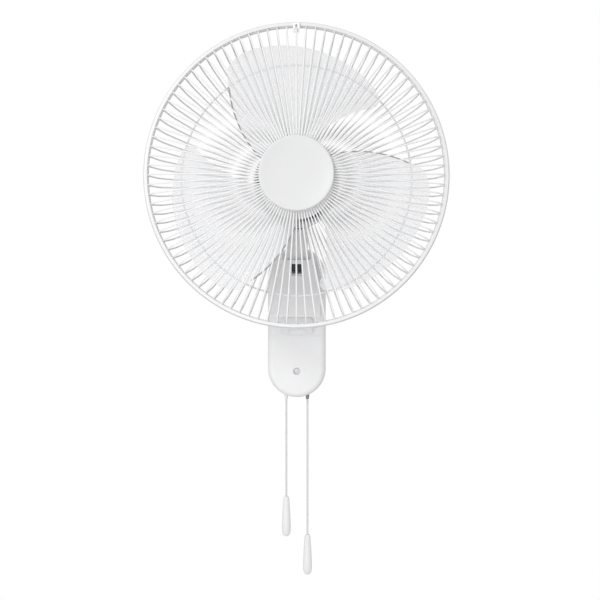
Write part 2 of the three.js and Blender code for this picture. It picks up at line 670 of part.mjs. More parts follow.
function makeTiltNut() {
  const near = -earOuter - GAP;
  const hexagon = rod(boltHeadRadius, near - nutThickness, near, 6, 'x', tiltPlace);
  const bore = rod(TILT_BOLT_RADIUS + GAP, near - nutThickness - 1, near + 1, circleSteps.medium, 'x',
    tiltPlace);
  return piece('tilt_nut', cut(hexagon, bore), zincSteel);
}

// ---- Neck and swing drive ---------------------------------------------------------------
const neckFrontY = TILT_Y - NECK_FRONT;
const neckBackY = TILT_Y + NECK_BACK;
const neckTopZ = TILT_Z + NECK_RISE;
const neckRoofZ = neckTopZ - NECK_TOP_THICKNESS; // underside of the thick top
const neckFloorZ = TILT_Z + NECK_KNUCKLE_RADIUS - 1.3;
const neckInnerHalf = NECK_HALF_WIDTH - NECK_WALL;
const bushRadius = SPINDLE_RADIUS + RUNNING_GAP + 2.7;
const bushFlange = 1;
const yokeLowZ = neckTopZ + GAP + bushFlange + GAP;
const yokeTopZ = yokeLowZ + 17;
const spindleBottomZ = neckRoofZ - 5.7;
const spindleTopZ = yokeTopZ - 5;
const crankY = TILT_Y + CRANK_DISTANCE;

// A block with rounded upright edges.
function roundedPost(half, y, z, corner) {
  const outline = [
    ...pointsOnArc([half - corner, y[1] - corner], corner, 0, 90, 4),
    ...pointsOnArc([corner - half, y[1] - corner], corner, 90, 180, 4),
    ...pointsOnArc([corner - half, y[0] + corner], corner, 180, 270, 4),
    ...pointsOnArc([half - corner, y[0] + corner], corner, 270, 360, 4),
  ];
  const shape = new THREE.Shape(outline.map(([px, py]) => new THREE.Vector2(px, py)));
  const geometry = new THREE.ExtrudeGeometry(shape, { depth: z[1] - z[0], bevelEnabled: false });
  geometry.translate(0, 0, z[0]);
  return solidOf(geometry);
}

function makeNeck() {
  const shoulderZ = TILT_Z + NECK_SHOULDER;
  const knuckleSlope = 17; // degrees, where the knuckle runs out to the shoulders
  const outline = [
    [neckFrontY, neckTopZ], [neckFrontY, shoulderZ],
    ...pointsOnArc([TILT_Y, TILT_Z], NECK_KNUCKLE_RADIUS, 180 + knuckleSlope, 360 - knuckleSlope, 10),
    [neckBackY, shoulderZ], [neckBackY, neckTopZ],
  ];
  const post = roundedPost(NECK_HALF_WIDTH, [neckFrontY, neckBackY], [TILT_Z - EAR_RADIUS, neckTopZ], 5);
  const body = sideSlab(outline, -NECK_HALF_WIDTH, NECK_HALF_WIDTH).intersect(post);
  const room = block([-neckInnerHalf, neckInnerHalf], [neckFrontY + NECK_WALL, neckBackY + 5],
    [neckFloorZ, neckRoofZ]);
  const bushHole = rod(bushRadius + GAP, neckRoofZ - 1, neckTopZ + 1, circleSteps.medium, 'z',
    [0, TILT_Y, 0]);
  const boltHole = rod(TILT_BOLT_RADIUS + RUNNING_GAP, -BASE_WIDTH, BASE_WIDTH, circleSteps.medium,
    'x', tiltPlace);
  return piece('neck', cut(body, room, bushHole, boltHole), whiteShell);
}

function makeNeckCover() {
  const half = neckInnerHalf - GAP;
  const plate = block([-half, half], [neckBackY - 2.3, neckBackY - 0.2], [neckFloorZ + GAP, neckRoofZ - GAP]);
  return piece('neck_cover', plate, whiteShell);
}

function makeSwingBush() {
  const bore = SPINDLE_RADIUS + RUNNING_GAP;
  const outline = [
    [bore, neckRoofZ], [bushRadius, neckRoofZ], [bushRadius, neckTopZ + GAP],
    [bushRadius + 3, neckTopZ + GAP], [bushRadius + 3, neckTopZ + GAP + bushFlange],
    [bore, neckTopZ + GAP + bushFlange],
  ];
  return piece('swing_bush', turned(outline, circleSteps.medium, 'z', [0, TILT_Y, 0]), darkPlastic);
}

const crankDiscZ = [spindleBottomZ - 7.2, spindleBottomZ - 5.2];
const crankPinTopZ = crankDiscZ[1] + 1.7;
const swingMotorTopZ = crankDiscZ[0] - 2;

function makeSwingMotor() {
  const outputRadius = 3;
  const can = rod(SWING_MOTOR_RADIUS, neckFloorZ + GAP, swingMotorTopZ, circleSteps.medium,
    'z', [0, TILT_Y + 2, 0]);
  const output = rod(outputRadius, swingMotorTopZ - 1, crankDiscZ[0] - GAP, circleSteps.small,
    'z', [0, crankY, 0]);
  return piece('swing_motor', join(can, output), darkSteel);
}

function makeSwingCrank() {
  const disc = rod(CRANK_THROW + 2, ...crankDiscZ, circleSteps.medium, 'z', [0, crankY, 0]);
  const pin = rod(CRANK_PIN_RADIUS, crankDiscZ[1] - 0.5, crankPinTopZ, circleSteps.small,
    'z', [0, crankY + CRANK_THROW, 0]);
  return piece('swing_crank', join(disc, pin), brass);
}

// Slotted arm under the spindle, which the crank pin pushes from side to side.
function makeSwingArm() {
  const farReach = CRANK_DISTANCE + CRANK_THROW + CRANK_PIN_RADIUS + GAP;
  const nearReach = CRANK_DISTANCE - CRANK_THROW - CRANK_PIN_RADIUS - GAP;
  const slotHalf = CRANK_PIN_RADIUS + GAP;
  const armHalf = slotHalf + 3.2;
  const z = [crankPinTopZ + GAP, spindleBottomZ - GAP];
  const y = [TILT_Y - armHalf - 1, TILT_Y + farReach + 2];
  const slot = block([-slotHalf, slotHalf], [TILT_Y + nearReach, TILT_Y + farReach], [z[0] - 1, z[1] + 1]);
  return piece('swing_arm', cut(roundedPost(armHalf, y, z, armHalf * 0.8), slot), zincSteel);
}

function makeSwingSpindle() {
  const spindle = rod(SPINDLE_RADIUS, spindleBottomZ, spindleTopZ, circleSteps.medium, 'z', [0, TILT_Y, 0]);
  return piece('swing_spindle', spindle, zincSteel);
}

// ---- Motor ------------------------------------------------------------------------------
const yokeHalf = 19;
const yokeBackY = TILT_Y + NECK_BACK + 1;
const plateBackY = FRONT_PLATE_Y + FRONT_PLATE_THICKNESS;
const statorBackY = STATOR_FRONT_Y + STATOR_LENGTH;
const rearBracketY = HOUSING_BACK_Y - REAR_BRACKET_SETBACK;
const collarBore = BEARING_RADIUS + GAP;
const shaftBore = SHAFT_RADIUS + RUNNING_GAP;
const shaftFrontY = RING_Y - 3;

function makeSwingYoke() {
  const body = roundedPost(yokeHalf, [plateBackY + GAP, yokeBackY], [yokeLowZ, yokeTopZ], 5);
  const bore = rod(SPINDLE_RADIUS + GAP, yokeLowZ - 1, spindleTopZ + GAP, circleSteps.medium,
    'z', [0, TILT_Y, 0]);
  return piece('swing_yoke', cut(body, bore), castAluminium);
}

function makeMotorFrontPlate() {
  const collarFrontY = FRONT_PLATE_Y - COLLAR_LENGTH;
  const outline = [
    [collarBore, collarFrontY], [COLLAR_RADIUS, collarFrontY], [COLLAR_RADIUS, FRONT_PLATE_Y],
    [HOUSING_RADIUS - 1.5, FRONT_PLATE_Y], [HOUSING_RADIUS, FRONT_PLATE_Y + 1.5],
    [HOUSING_RADIUS, plateBackY], [collarBore, plateBackY],
  ];
  return piece('motor_front_plate', turned(outline, circleSteps.large), castAluminium);
}

const housingScrewX = 44;
function makeMotorHousing() {
  const edge = 12;
  const inner = HOUSING_RADIUS - HOUSING_WALL;
  const innerBackY = HOUSING_BACK_Y - HOUSING_WALL;
  const frontY = plateBackY + GAP;
  const outline = [
    [inner, frontY], [HOUSING_RADIUS, frontY],
    ...pointsOnArc([HOUSING_RADIUS - edge, HOUSING_BACK_Y - edge], edge, 0, 90, 4),
    [0, HOUSING_BACK_Y], [0, innerBackY],
    ...pointsOnArc([HOUSING_RADIUS - edge, HOUSING_BACK_Y - edge], edge - HOUSING_WALL, 90, 0, 4),
  ];
  let housing = turned(outline, circleSteps.large);
  const slotCount = 10;
  for (let i = 0; i < slotCount; i += 1) {
    const slot = block([22, 38], [innerBackY - 1, HOUSING_BACK_Y + 1], [-1.6, 1.6]);
    housing = cut(housing, slot.rotate([0, (360 / slotCount) * (i + 0.5), 0]));
  }
  const notch = block([-yokeHalf - 0.5, yokeHalf + 0.5], [frontY - 1, yokeBackY + 0.5],
    [-HOUSING_RADIUS - 5, yokeTopZ - AXIS_Z + 0.5]);
  housing = cut(housing, notch);
  for (const side of [-1, 1]) {
    const hole = rod(2.3, innerBackY - 1, HOUSING_BACK_Y + 1, circleSteps.small, 'y',
      [side * housingScrewX, 0, 0]);
    housing = cut(housing, hole);
  }
  return piece('motor_housing', housing, whiteShell);
}

function makeHousingScrew(name, side) {
  const tipY = rearBracketY + rearBracketThickness + 1 + GAP;
  return makeScrew(name, 2, 4, 2.4, tipY, HOUSING_BACK_Y + GAP, 'y', [side * housingScrewX, 0, 0]);
}

const rearBracketThickness = 3;
function makeMotorRearBracket() {
  const outer = HOUSING_RADIUS - HOUSING_WALL - 1;
  const collarFrontY = rearBracketY - REAR_COLLAR_LENGTH;
  const outline = [
    [collarBore, collarFrontY], [COLLAR_RADIUS, collarFrontY], [COLLAR_RADIUS, rearBracketY],
    [outer, rearBracketY], [outer, rearBracketY + rearBracketThickness],
    [collarBore, rearBracketY + rearBracketThickness],
  ];
  return piece('motor_rear_bracket', turned(outline, circleSteps.large), castAluminium);
}

const bearingRing = (name, y) =>
  piece(name, tube(shaftBore, BEARING_RADIUS, y, y + BEARING_WIDTH, circleSteps.medium), zincSteel);

function makeWinding(name, low, high) {
  const [inner, outer, corner] = [STATOR_BORE + 2, STATOR_RADIUS - 4, 2];
  const outline = [
    [inner, low + corner], [inner + corner, low], [outer - corner, low], [outer, low + corner],
    [outer, high - corner], [outer - corner, high], [inner + corner, high], [inner, high - corner],
  ];
  return piece(name, turned(outline, circleSteps.medium), copperWire);
}

// ---- Guards -----------------------------------------------------------------------------
const ringOuter = BAND_RADIUS - BAND_WALL - GAP;
const ringInner = ringOuter - RING_SECTION;
const lipInner = ringInner + 2.4; // edge of the band's lips
const bandFrontY = RING_Y - BAND_WIDTH / 2;
const bandBackY = RING_Y + BAND_WIDTH / 2;
const ringMiddle = (ringOuter + ringInner) / 2 - 0.4;
const hubPlateBackY = FRONT_PLATE_Y - GAP;
const hubPlateMiddleY = hubPlateBackY - REAR_HUB_THICKNESS / 2;
const frontPlateMiddleY = RING_Y - FRONT_DISH;
const supportY = RING_Y + SUPPORT_DEPTH; // bend of the rear wires, where the ring ties them

const frontPlateHalf = 1.6; // half the thickness of the front plate
const wireOverlap = 3; // length of each wire inside the plate that it is welded to

// Rings have flat facets, turned so that each wire meets the middle part of a facet.
const ringTurn = [0, 90 / WIRE_COUNT * 2, 0];
const ringTube = (...sizes) => tube(...sizes, RING_SEGMENTS).rotate(ringTurn);

// One guard wire in the plane of the fan axis, as [radius, y] stations.
function guardWire(stations) {
  const sides = 3;
  const points = stations.map(([radius, y]) => new THREE.Vector2(radius, y));
  const rings = points.map((point, i) => {
    const before = points[Math.max(i - 1, 0)];
    const after = points[Math.min(i + 1, points.length - 1)];
    const along = after.clone().sub(before).normalize();
    return Array.from({ length: sides }, (_, k) => {
      const angle = (2 * Math.PI * k) / sides;
      const offset = WIRE_RADIUS * 1.25 * Math.cos(angle);
      return new THREE.Vector3(
        point.x - along.y * offset,
        point.y + along.x * offset,
        WIRE_RADIUS * 1.25 * Math.sin(angle),
      );
    });
  });
  return loft(rings);
}

function guardOf(name, ringY, stations, ...discs) {
  const wire = guardWire(stations);
  let guard = join(ringTube(ringInner, ringOuter, ...ringY), ...discs);
  for (let i = 0; i < WIRE_COUNT; i += 1) {
    guard = guard.add(wire.rotate([0, (360 / WIRE_COUNT) * i, 0]));
  }
  return piece(name, guard, whiteWire);
}

function makeFrontGuard() {
  const ringY = [RING_Y - GAP - RING_SECTION, RING_Y - GAP];
  const stations = [
    [ringMiddle, RING_Y - WIRE_SEAT],
    [ringInner - FRONT_BEND[0], RING_Y - FRONT_BEND[1]],
    [ringInner - FRONT_SHOULDER[0], RING_Y - FRONT_SHOULDER[1]],
    [FRONT_PLATE_RADIUS - wireOverlap, frontPlateMiddleY],
  ];
  const plate = rod(FRONT_PLATE_RADIUS, frontPlateMiddleY - frontPlateHalf,
    frontPlateMiddleY + frontPlateHalf, RING_SEGMENTS).rotate(ringTurn);
  return guardOf('front_guard', ringY, stations, plate);
}

function makeRearGuard() {
  const ringY = [RING_Y + GAP, RING_Y + GAP + RING_SECTION];
  const stations = [
    [ringMiddle, RING_Y + WIRE_SEAT],
    [ringInner - REAR_SHOULDER[0], RING_Y + REAR_SHOULDER[1]],
    [SUPPORT_RADIUS, supportY],
    [HOUSING_RADIUS - wireOverlap, hubPlateMiddleY],
  ];
  const hub = ringTube(COLLAR_RADIUS + 2 * GAP, HOUSING_RADIUS, hubPlateBackY - REAR_HUB_THICKNESS,
    hubPlateBackY);
  return guardOf('rear_guard', ringY, stations, hub);
}

// Ring that ties the rear wires together, on their outer side.
function makeSupportRing() {
  const nearY = supportY + WIRE_RADIUS * 1.6 + GAP;
  const outline = [
    [SUPPORT_RADIUS - WIRE_RADIUS * 0.6, nearY], [SUPPORT_RADIUS + WIRE_RADIUS * 1.9, nearY],
    [SUPPORT_RADIUS + WIRE_RADIUS * 0.6, nearY + WIRE_RADIUS * 2],
  ];
  return piece('rear_guard_ring', turned(outline, RING_SEGMENTS).rotate(ringTurn), whiteWire);
}

function makeGuardBand() {
  const outline = [
    [lipInner, bandFrontY], [BAND_RADIUS, bandFrontY + 1], [BAND_RADIUS, bandBackY - 1],
    [lipInner, bandBackY],
    [lipInner, bandBackY - BAND_WALL], [BAND_RADIUS - BAND_WALL, bandBackY - BAND_WALL],
    [BAND_RADIUS - BAND_WALL, bandFrontY + BAND_WALL], [lipInner, bandFrontY + BAND_WALL],
  ];
  return piece('guard_band', turned(outline, RING_SEGMENTS).rotate(ringTurn), whiteWire);
}

// Clip at the top of the band, with a channel over the wire that passes it.
function makeGuardClip() {
  const half = 5;
  const lowZ = ringInner - 9;
  const frontY = bandFrontY - GAP - 3.4;
  const body = block([-half, half], [frontY, bandFrontY - GAP], [lowZ, BAND_RADIUS - 3]);
  const channel = block([-1.5, 1.5], [frontY - 1, bandFrontY], [lowZ - 1, ringInner + 2]);
  const screwHoles = [-1, 1].map((side) =>
    rod(1, frontY - 1, frontY + 2, 8, 'y', [side * 2.9, 0, lowZ + 3.2]));
  return piece('guard_clip', cut(body, channel, ...screwHoles), whiteShell);
}

function makeGuardNut() {
  const inner = (COLLAR_RADIUS + GAP) / Math.cos(Math.PI / circleSteps.medium); // flats clear the collar
  const outer = GUARD_NUT_RADIUS;
  const backY = hubPlateBackY - REAR_HUB_THICKNESS - GAP;
  const frontY = backY - GUARD_NUT_LENGTH;
  let nut = turned([
    [inner, frontY], [outer - 4, frontY], [outer - 3, frontY + 3], [outer, backY - 3], [outer, backY],
    [inner, backY],
  ], circleSteps.medium);
  const gripCount = 8;
  for (let i = 0; i < gripCount; i += 1) {
    const grip = rod(2.4, frontY - 1, backY - 2, 8, 'y', [outer, 0, 0]);
    nut = cut(nut, grip.rotate([0, (360 / gripCount) * i, 0]));
  }
  return piece('guard_nut', nut, whiteShell);
}

const capBackY = frontPlateMiddleY - frontPlateHalf - GAP;
function makeFrontCap() {
  const frontY = capBackY - CAP_HEIGHT;
  const wall = 1.8;
  const rimRadius = CAP_RADIUS - 2.8;
  const innerY = frontY + CAP_DISH + wall;
  const face = [0, 0.25, 0.5, 0.7, 0.86, 1].map((share) =>
    [rimRadius * share, frontY + CAP_DISH * (1 - share ** 2)]);
  const outline = [
    ...face, [CAP_RADIUS - 0.8, frontY + 0.6], [CAP_RADIUS, frontY + 2.2], [CAP_RADIUS, capBackY],
    [CAP_RADIUS - wall, capBackY], [CAP_RADIUS - wall, innerY], [0, innerY],
  ];
  return piece('front_cap', turned(outline, circleSteps.large), whiteShell);
}

// ---- Rotor and blades -------------------------------------------------------------------
const hubFrontY = RING_Y + HUB_FRONT;
const hubBackY = hubFrontY + HUB_LENGTH;
const hubBossRadius = 12;
const pinY = hubBackY - 5.8;
const pinRadius = 1.5;
const pinHalfLength = 8.7;

function makeShaft() {
  const shaft = rod(SHAFT_RADIUS, shaftFrontY, rearBracketY, circleSteps.medium);
  const pinHole = rod(pinRadius + GAP, -BASE_WIDTH, BASE_WIDTH, circleSteps.small, 'x', [0, pinY, 0]);
  return piece('motor_shaft', cut(shaft, pinHole), zincSteel);
}

function makeDrivePin() {
  const pin = rod(pinRadius, -pinHalfLength, pinHalfLength, circleSteps.small, 'x', [0, pinY, 0]);
  return piece('drive_pin', pin, zincSteel);
}

// Both edges start to sweep where the blade leaves the hub. Angles are in degrees.
const degrees = THREE.MathUtils.degToRad;
const outward = (r) => (r - SWEEP_START_RADIUS) / (BLADE_RADIUS - SWEEP_START_RADIUS);
const trailingAngle = (r) => 153.2 - EDGE_SWEEP * Math.max(0, outward(r)) ** 0.85;
const leadingAngle = (r) => 66 - EDGE_SWEEP * outward(r);
const tipRadius = (t) =>
  BLADE_RADIUS - TIP_TAPER * t ** 1.6 - TIP_CORNER * ((1 - t) ** 24 + t ** 24);

// A point on the middle surface of a blade: t runs from the trailing to the leading edge.
function bladePoint(t, s) {
  const root = HUB_RADIUS - HUB_WALL / 2;
  const r = root + s * (tipRadius(t) - root);
  const angle = degrees(THREE.MathUtils.lerp(trailingAngle(r), leadingAngle(r), t));
  const rootDrop = ROOT_DROP * (1 - s) ** 2; // the root sits deeper on the hub
  const curve = t + 0.12 * Math.sin(Math.PI * t);
  const behind = BLADE_FRONT + rootDrop + (BLADE_SWEEP_DEPTH - 1.2 * rootDrop) * curve;
  return new THREE.Vector3(r * Math.cos(angle), RING_Y + behind, r * Math.sin(angle));
}

function makeBladeSolid() {
  const [across, along] = [8, 5];
  const crowded = (u) => u - 0.8 * Math.sin(2 * Math.PI * u) / (2 * Math.PI); // closer near both edges
  const rings = Array.from({ length: along + 1 }, (_, j) => {
    const s = j / along;
    const side = (shift, reverse) => {
      const row = Array.from({ length: across + 1 }, (_, i) => {
        const point = bladePoint(crowded(i / across), s);
        const thin = i === 0 || i === across ? 0.5 : 1;
        return point.add(new THREE.Vector3(0, shift * thin * BLADE_THICKNESS / 2, 0));
      });
      return reverse ? row.reverse() : row;
    };
    return [...side(-1, false), ...side(1, true)];
  });
  return loft(rings);
}

function makeFanBlade() {
  const edge = 6;
  const hub = turned([
    [shaftBore, hubFrontY], [HUB_RADIUS - edge, hubFrontY], [HUB_RADIUS - 1.5, hubFrontY + 2.5],
    [HUB_RADIUS, hubFrontY + edge],
    [HUB_RADIUS, hubBackY], [HUB_RADIUS - HUB_WALL, hubBackY], [HUB_RADIUS - HUB_WALL, hubFrontY + edge + 1],
    [HUB_RADIUS - edge - HUB_WALL, hubFrontY + HUB_WALL], [hubBossRadius, hubFrontY + HUB_WALL],
    [hubBossRadius, hubBackY - 4], [shaftBore, hubBackY - 4],
  ], circleSteps.large);
  const blade = makeBladeSolid();
  const core = rod(HUB_RADIUS - HUB_WALL / 2, hubFrontY - 5, hubBackY + 5, circleSteps.large);
  let fan = hub;
  for (let i = 0; i < BLADE_COUNT; i += 1) {
    fan = join(fan, cut(blade.rotate([0, (360 / BLADE_COUNT) * i, 0]), core));
  }
  const slot = block([-pinHalfLength - 0.4, pinHalfLength + 0.4], [pinY - pinRadius - GAP, hubBackY],
    [-pinRadius - GAP, pinRadius + GAP]);
  return piece('fan_blade', cut(fan, slot), bladeTint);
}

function makeBladeNut() {
  const backY = hubFrontY - GAP;
  const frontY = shaftFrontY - 4;
  const outline = [
    [0, frontY], [9, frontY], [13, frontY + 2], [16, backY - 3], [16, backY], [shaftBore, backY],
    [shaftBore, shaftFrontY - GAP], [0, shaftFrontY - GAP],
  ];
  return piece('blade_nut', turned(outline, circleSteps.medium), darkPlastic);
}

// ---- Pull cords -------------------------------------------------------------------------
const handleBoreDepth = 10;
function makeHandle(name, topZ) {
  const lowZ = topZ - HANDLE_LENGTH;
  const share = (radius, height) => [HANDLE_RADIUS * radius, lowZ + HANDLE_LENGTH * height];
  const bore = CORD_RADIUS + GAP;
  const outline = [
    [0, lowZ], share(0.45, 0.012), share(0.8, 0.055), share(0.97, 0.12), share(1, 0.24),
    share(0.92, 0.5), share(0.74, 0.8), share(0.62, 0.95), share(0.5, 0.99), [bore + 0.6, topZ],
    [bore, topZ], [bore, topZ - handleBoreDepth], [0, topZ - handleBoreDepth],
  ];
  return piece(name, turned(outline, circleSteps.small, 'z'), whiteShell);
}

function makeCord(name, handleTopZ) {
  const topZ = plungerLowZ - GAP;
  const lowZ = handleTopZ - handleBoreDepth + GAP;
  const line = new THREE.LineCurve3(new THREE.Vector3(0, 0, lowZ), new THREE.Vector3(0, 0, topZ));
  const section = new THREE.Shape(
    Array.from({ length: 8 }, (_, k) => {
      const angle = (2 * Math.PI * k) / 8;
      return new THREE.Vector2(CORD_RADIUS * Math.cos(angle), CORD_RADIUS * Math.sin(angle));
    }),
  );
  const steps = Math.ceil((topZ - lowZ) / (6 * CORD_RADIUS));
  const geometry = new THREE.ExtrudeGeometry(section, { steps, bevelEnabled: false, extrudePath: line });
  return piece(name, solidOf(geometry), whiteCord);
}

// ---- Assembly ---------------------------------------------------------------------------
const groupOf = (position, ...pieces) => {
  const group = new THREE.Group();
  group.position.set(...position);
  if (pieces.length > 0) group.add(...pieces);
  return group;
};

const covers = coverShell();
const base = groupOf(
  [0, 0, 0],
  makeWallBracket(),
  makeBackShell(),
  piece('base_arm_cover', covers.intersect(above(COVER_SEAM_Z)), whiteShell),
  piece('base_switch_cover', covers.intersect(below(COVER_SEAM_Z - GAP)), whiteShell),
  makeScrew('switch_cover_screw', 2, 4.2, 2.6, -20, recessFloorY - GAP, 'y', screwPlace),
  makeCordGland(),
  makeSwitchBracket(),
  makeSwitchBody('speed_switch', CORD_X),
  makeSwitchBody('swing_switch', -CORD_X),
  makeSwitchSpring('speed_switch_spring', CORD_X),
  makeSwitchSpring('swing_switch_spring', -CORD_X),
  makeCordGuide('speed_cord_guide', CORD_X, darkPlastic),
  makeCordGuide('swing_cord_guide', -CORD_X, whiteShell),
  makeTerminalBlock(),
  makeCapacitor(),
  makeArm(),
  makeArmFootCap(),
  makeScrew('arm_screw_left', armScrewRadius, 4.4, 2.6, armBackY - 13, coverInnerY + GAP,
    'y', [-armScrewX, 0, armScrewZ]),
  makeScrew('arm_screw_right', armScrewRadius, 4.4, 2.6, armBackY - 13, coverInnerY + GAP,
    'y', [armScrewX, 0, armScrewZ]),
  makeTiltBolt(),
  makeTiltNut(),
  makeHingeWasher('hinge_washer_left', -1),
  makeHingeWasher('hinge_washer_right', 1),
);

const speedPull = groupOf([0, 0, 0], makePlunger('speed_plunger', CORD_X),
  groupOf([CORD_X, CORD_Y, 0], makeCord('speed_cord', SPEED_HANDLE_TOP_Z),
    makeHandle('speed_handle', SPEED_HANDLE_TOP_Z)));
const swingPull = groupOf([0, 0, 0], makePlunger('swing_plunger', -CORD_X),
  groupOf([-CORD_X, CORD_Y, 0], makeCord('swing_cord', SWING_HANDLE_TOP_Z),
    makeHandle('swing_handle', SWING_HANDLE_TOP_Z)));

const rotor = groupOf(
  [0, 0, 0],
  makeShaft(),
  makeDrivePin(),
  piece('rotor_core', tube(shaftBore, STATOR_BORE - AIR_GAP, STATOR_FRONT_Y, statorBackY,
    circleSteps.medium), darkSteel),
  makeFanBlade(),
  makeBladeNut(),
);

// Pieces that are centred on the fan axis.
const fanAxis = groupOf(
  [0, 0, AXIS_Z],
  makeMotorFrontPlate(),
  makeMotorHousing(),
  makeHousingScrew('housing_screw_left', -1),
  makeHousingScrew('housing_screw_right', 1),
  makeMotorRearBracket(),
  bearingRing('front_bearing', FRONT_PLATE_Y - COLLAR_LENGTH + 1),
  bearingRing('rear_bearing', rearBracketY - REAR_COLLAR_LENGTH + 0.5),
  piece('stator_core', tube(STATOR_BORE, STATOR_RADIUS, STATOR_FRONT_Y, statorBackY, circleSteps.large),
    darkSteel),
  makeWinding('front_winding', STATOR_FRONT_Y - GAP - WINDING_LENGTH, STATOR_FRONT_Y - GAP),
  makeWinding('rear_winding', statorBackY + GAP, statorBackY + GAP + WINDING_LENGTH),
  makeRearGuard(),
  makeSupportRing(),
  makeGuardNut(),
  makeFrontGuard(),
  makeGuardBand(),
  makeGuardClip(),
  makeFrontCap(),
  rotor,
);

const head = groupOf([0, 0, 0], makeSwingYoke(), makeSwingSpindle(), makeSwingArm(), fanAxis);
const neck = groupOf([0, 0, 0], makeNeck(), makeNeckCover(), makeSwingBush(), makeSwingMotor(),
  makeSwingCrank(), head);

export default groupOf([0, 0, 0], base, neck, speedPull, swingPull);
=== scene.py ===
import json
import math

import bmesh
import bpy
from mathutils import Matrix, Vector


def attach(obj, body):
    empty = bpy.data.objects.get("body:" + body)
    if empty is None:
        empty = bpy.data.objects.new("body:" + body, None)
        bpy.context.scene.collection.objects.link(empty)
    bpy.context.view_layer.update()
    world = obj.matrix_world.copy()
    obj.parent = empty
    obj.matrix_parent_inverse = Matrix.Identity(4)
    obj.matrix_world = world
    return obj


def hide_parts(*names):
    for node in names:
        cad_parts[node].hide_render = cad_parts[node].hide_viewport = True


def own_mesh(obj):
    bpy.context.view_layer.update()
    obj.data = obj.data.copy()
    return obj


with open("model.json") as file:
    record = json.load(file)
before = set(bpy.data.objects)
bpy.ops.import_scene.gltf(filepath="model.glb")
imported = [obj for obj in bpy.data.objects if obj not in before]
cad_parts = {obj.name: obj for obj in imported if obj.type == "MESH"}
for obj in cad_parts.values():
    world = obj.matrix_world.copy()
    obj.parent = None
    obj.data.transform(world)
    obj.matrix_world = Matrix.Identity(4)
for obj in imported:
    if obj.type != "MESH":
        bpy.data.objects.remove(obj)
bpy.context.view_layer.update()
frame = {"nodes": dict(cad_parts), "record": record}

nodes = frame["nodes"]
fanAxis = Vector((0, 0, 0.22))  # the blades turn about the Y direction through here
tiltAxis = Vector((0, -0.125, 0.097))  # the neck tilts about the X direction through here
past = 0.001  # how far a cutting piece reaches past the face that it cuts
sameSpot = 0.000002  # corners closer than this become one


# Selecting and moving about between object mode and edit mode

def deselectAll():
    if bpy.context.object and bpy.context.object.mode != "OBJECT":
        bpy.ops.object.mode_set(mode="OBJECT")
    bpy.ops.object.select_all(action="DESELECT")


def pickOnly(piece):
    deselectAll()
    piece.select_set(True)
    bpy.context.view_layer.objects.active = piece


def namePiece(name):
    piece = bpy.context.object
    piece.name = name
    piece.data.name = name
    bpy.ops.object.transform_apply(location=True, rotation=True, scale=True)
    return piece


def selectAll():
    bpy.ops.mesh.select_all(action="SELECT")


def editPiece(piece, kind="FACE"):
    pickOnly(piece)
    bpy.ops.object.mode_set(mode="EDIT")
    bpy.ops.mesh.select_mode(type=kind)
    selectAll()


def selectParts(piece, kind, wanted):
    bpy.ops.mesh.select_mode(type=kind)
    bpy.ops.mesh.select_all(action="DESELECT")
    shape = bmesh.from_edit_mesh(piece.data)
    parts = {"VERT": shape.verts, "EDGE": shape.edges, "FACE": shape.faces}[kind]
    for part in parts:
        part.select_set(wanted(part))
    bmesh.update_edit_mesh(piece.data)


def leaveEdit():
    bpy.ops.object.mode_set(mode="OBJECT")


def extrudeBy(x, y, z):
    bpy.ops.mesh.extrude_region_move(TRANSFORM_OT_translate={"value": (x, y, z)})


def tidyNormals():
    selectAll()
    bpy.ops.mesh.remove_doubles(threshold=sameSpot)
    bpy.ops.mesh.normals_make_consistent(inside=False)


# Ways of making a shape

def addBlock(name, x, y, z):
    deselectAll()
    middle = [sum(side) / 2 for side in (x, y, z)]
    size = [side[1] - side[0] for side in (x, y, z)]
    bpy.ops.mesh.primitive_cube_add(size=1, location=middle, scale=size)
    return namePiece(name)


def addRod(name, radius, low, high, axis, centre=(0, 0, 0), steps=48):
    deselectAll()
    turn = {"X": (0, math.pi / 2, 0), "Y": (math.pi / 2, 0, 0), "Z": (0, 0, 0)}[axis]
    along = Vector([letter == axis for letter in "XYZ"])
    bpy.ops.mesh.primitive_cylinder_add(
        vertices=steps, radius=radius, depth=high - low, rotation=turn,
        location=Vector(centre) + along * (low + high) / 2)
    return namePiece(name)


def addSlab(name, outline, axis, low, high):
    # The outline is drawn square to the axis and pulled along it
    deselectAll()
    bpy.ops.mesh.primitive_circle_add(vertices=len(outline), radius=1, fill_type="NGON")
    slab = namePiece(name)
    for vertex, (a, b) in zip(slab.data.vertices, outline):
        vertex.co = {"X": (low, a, b), "Y": (a, low, b), "Z": (a, b, low)}[axis]
    editPiece(slab)
    extrudeBy(*[(high - low) * (letter == axis) for letter in "XYZ"])
    tidyNormals()
    leaveEdit()
    return slab


def turnPiece(name, profile, axis="Y", centre=fanAxis, steps=96):
    # Each pair is a radius and a place along the axis; a profile off the axis is closed on itself
    deselectAll()
    side = Vector((0, 1, 0)) if axis == "X" else Vector((1, 0, 0))
    along = Vector([letter == axis for letter in "XYZ"])
    points = [Vector(centre) + side * radius + along * place for radius, place in profile]
    bpy.ops.mesh.primitive_plane_add(size=1)
    piece = namePiece(name)
    editPiece(piece, "VERT")
    bpy.ops.mesh.merge(type="CENTER")
    bpy.ops.transform.translate(value=points[0])
    for before, after in zip(points, points[1:]):
        extrudeBy(*(after - before))
    if profile[0][0] > 0:
        ends = (points[0], points[-1])
        selectParts(piece, "VERT",
                    lambda vertex: min((vertex.co - end).length for end in ends) < sameSpot)
        bpy.ops.mesh.edge_face_add()
    selectAll()
    bpy.ops.mesh.spin(steps=steps, angle=2 * math.pi, center=centre, axis=along)
    tidyNormals()
    leaveEdit()
    return piece


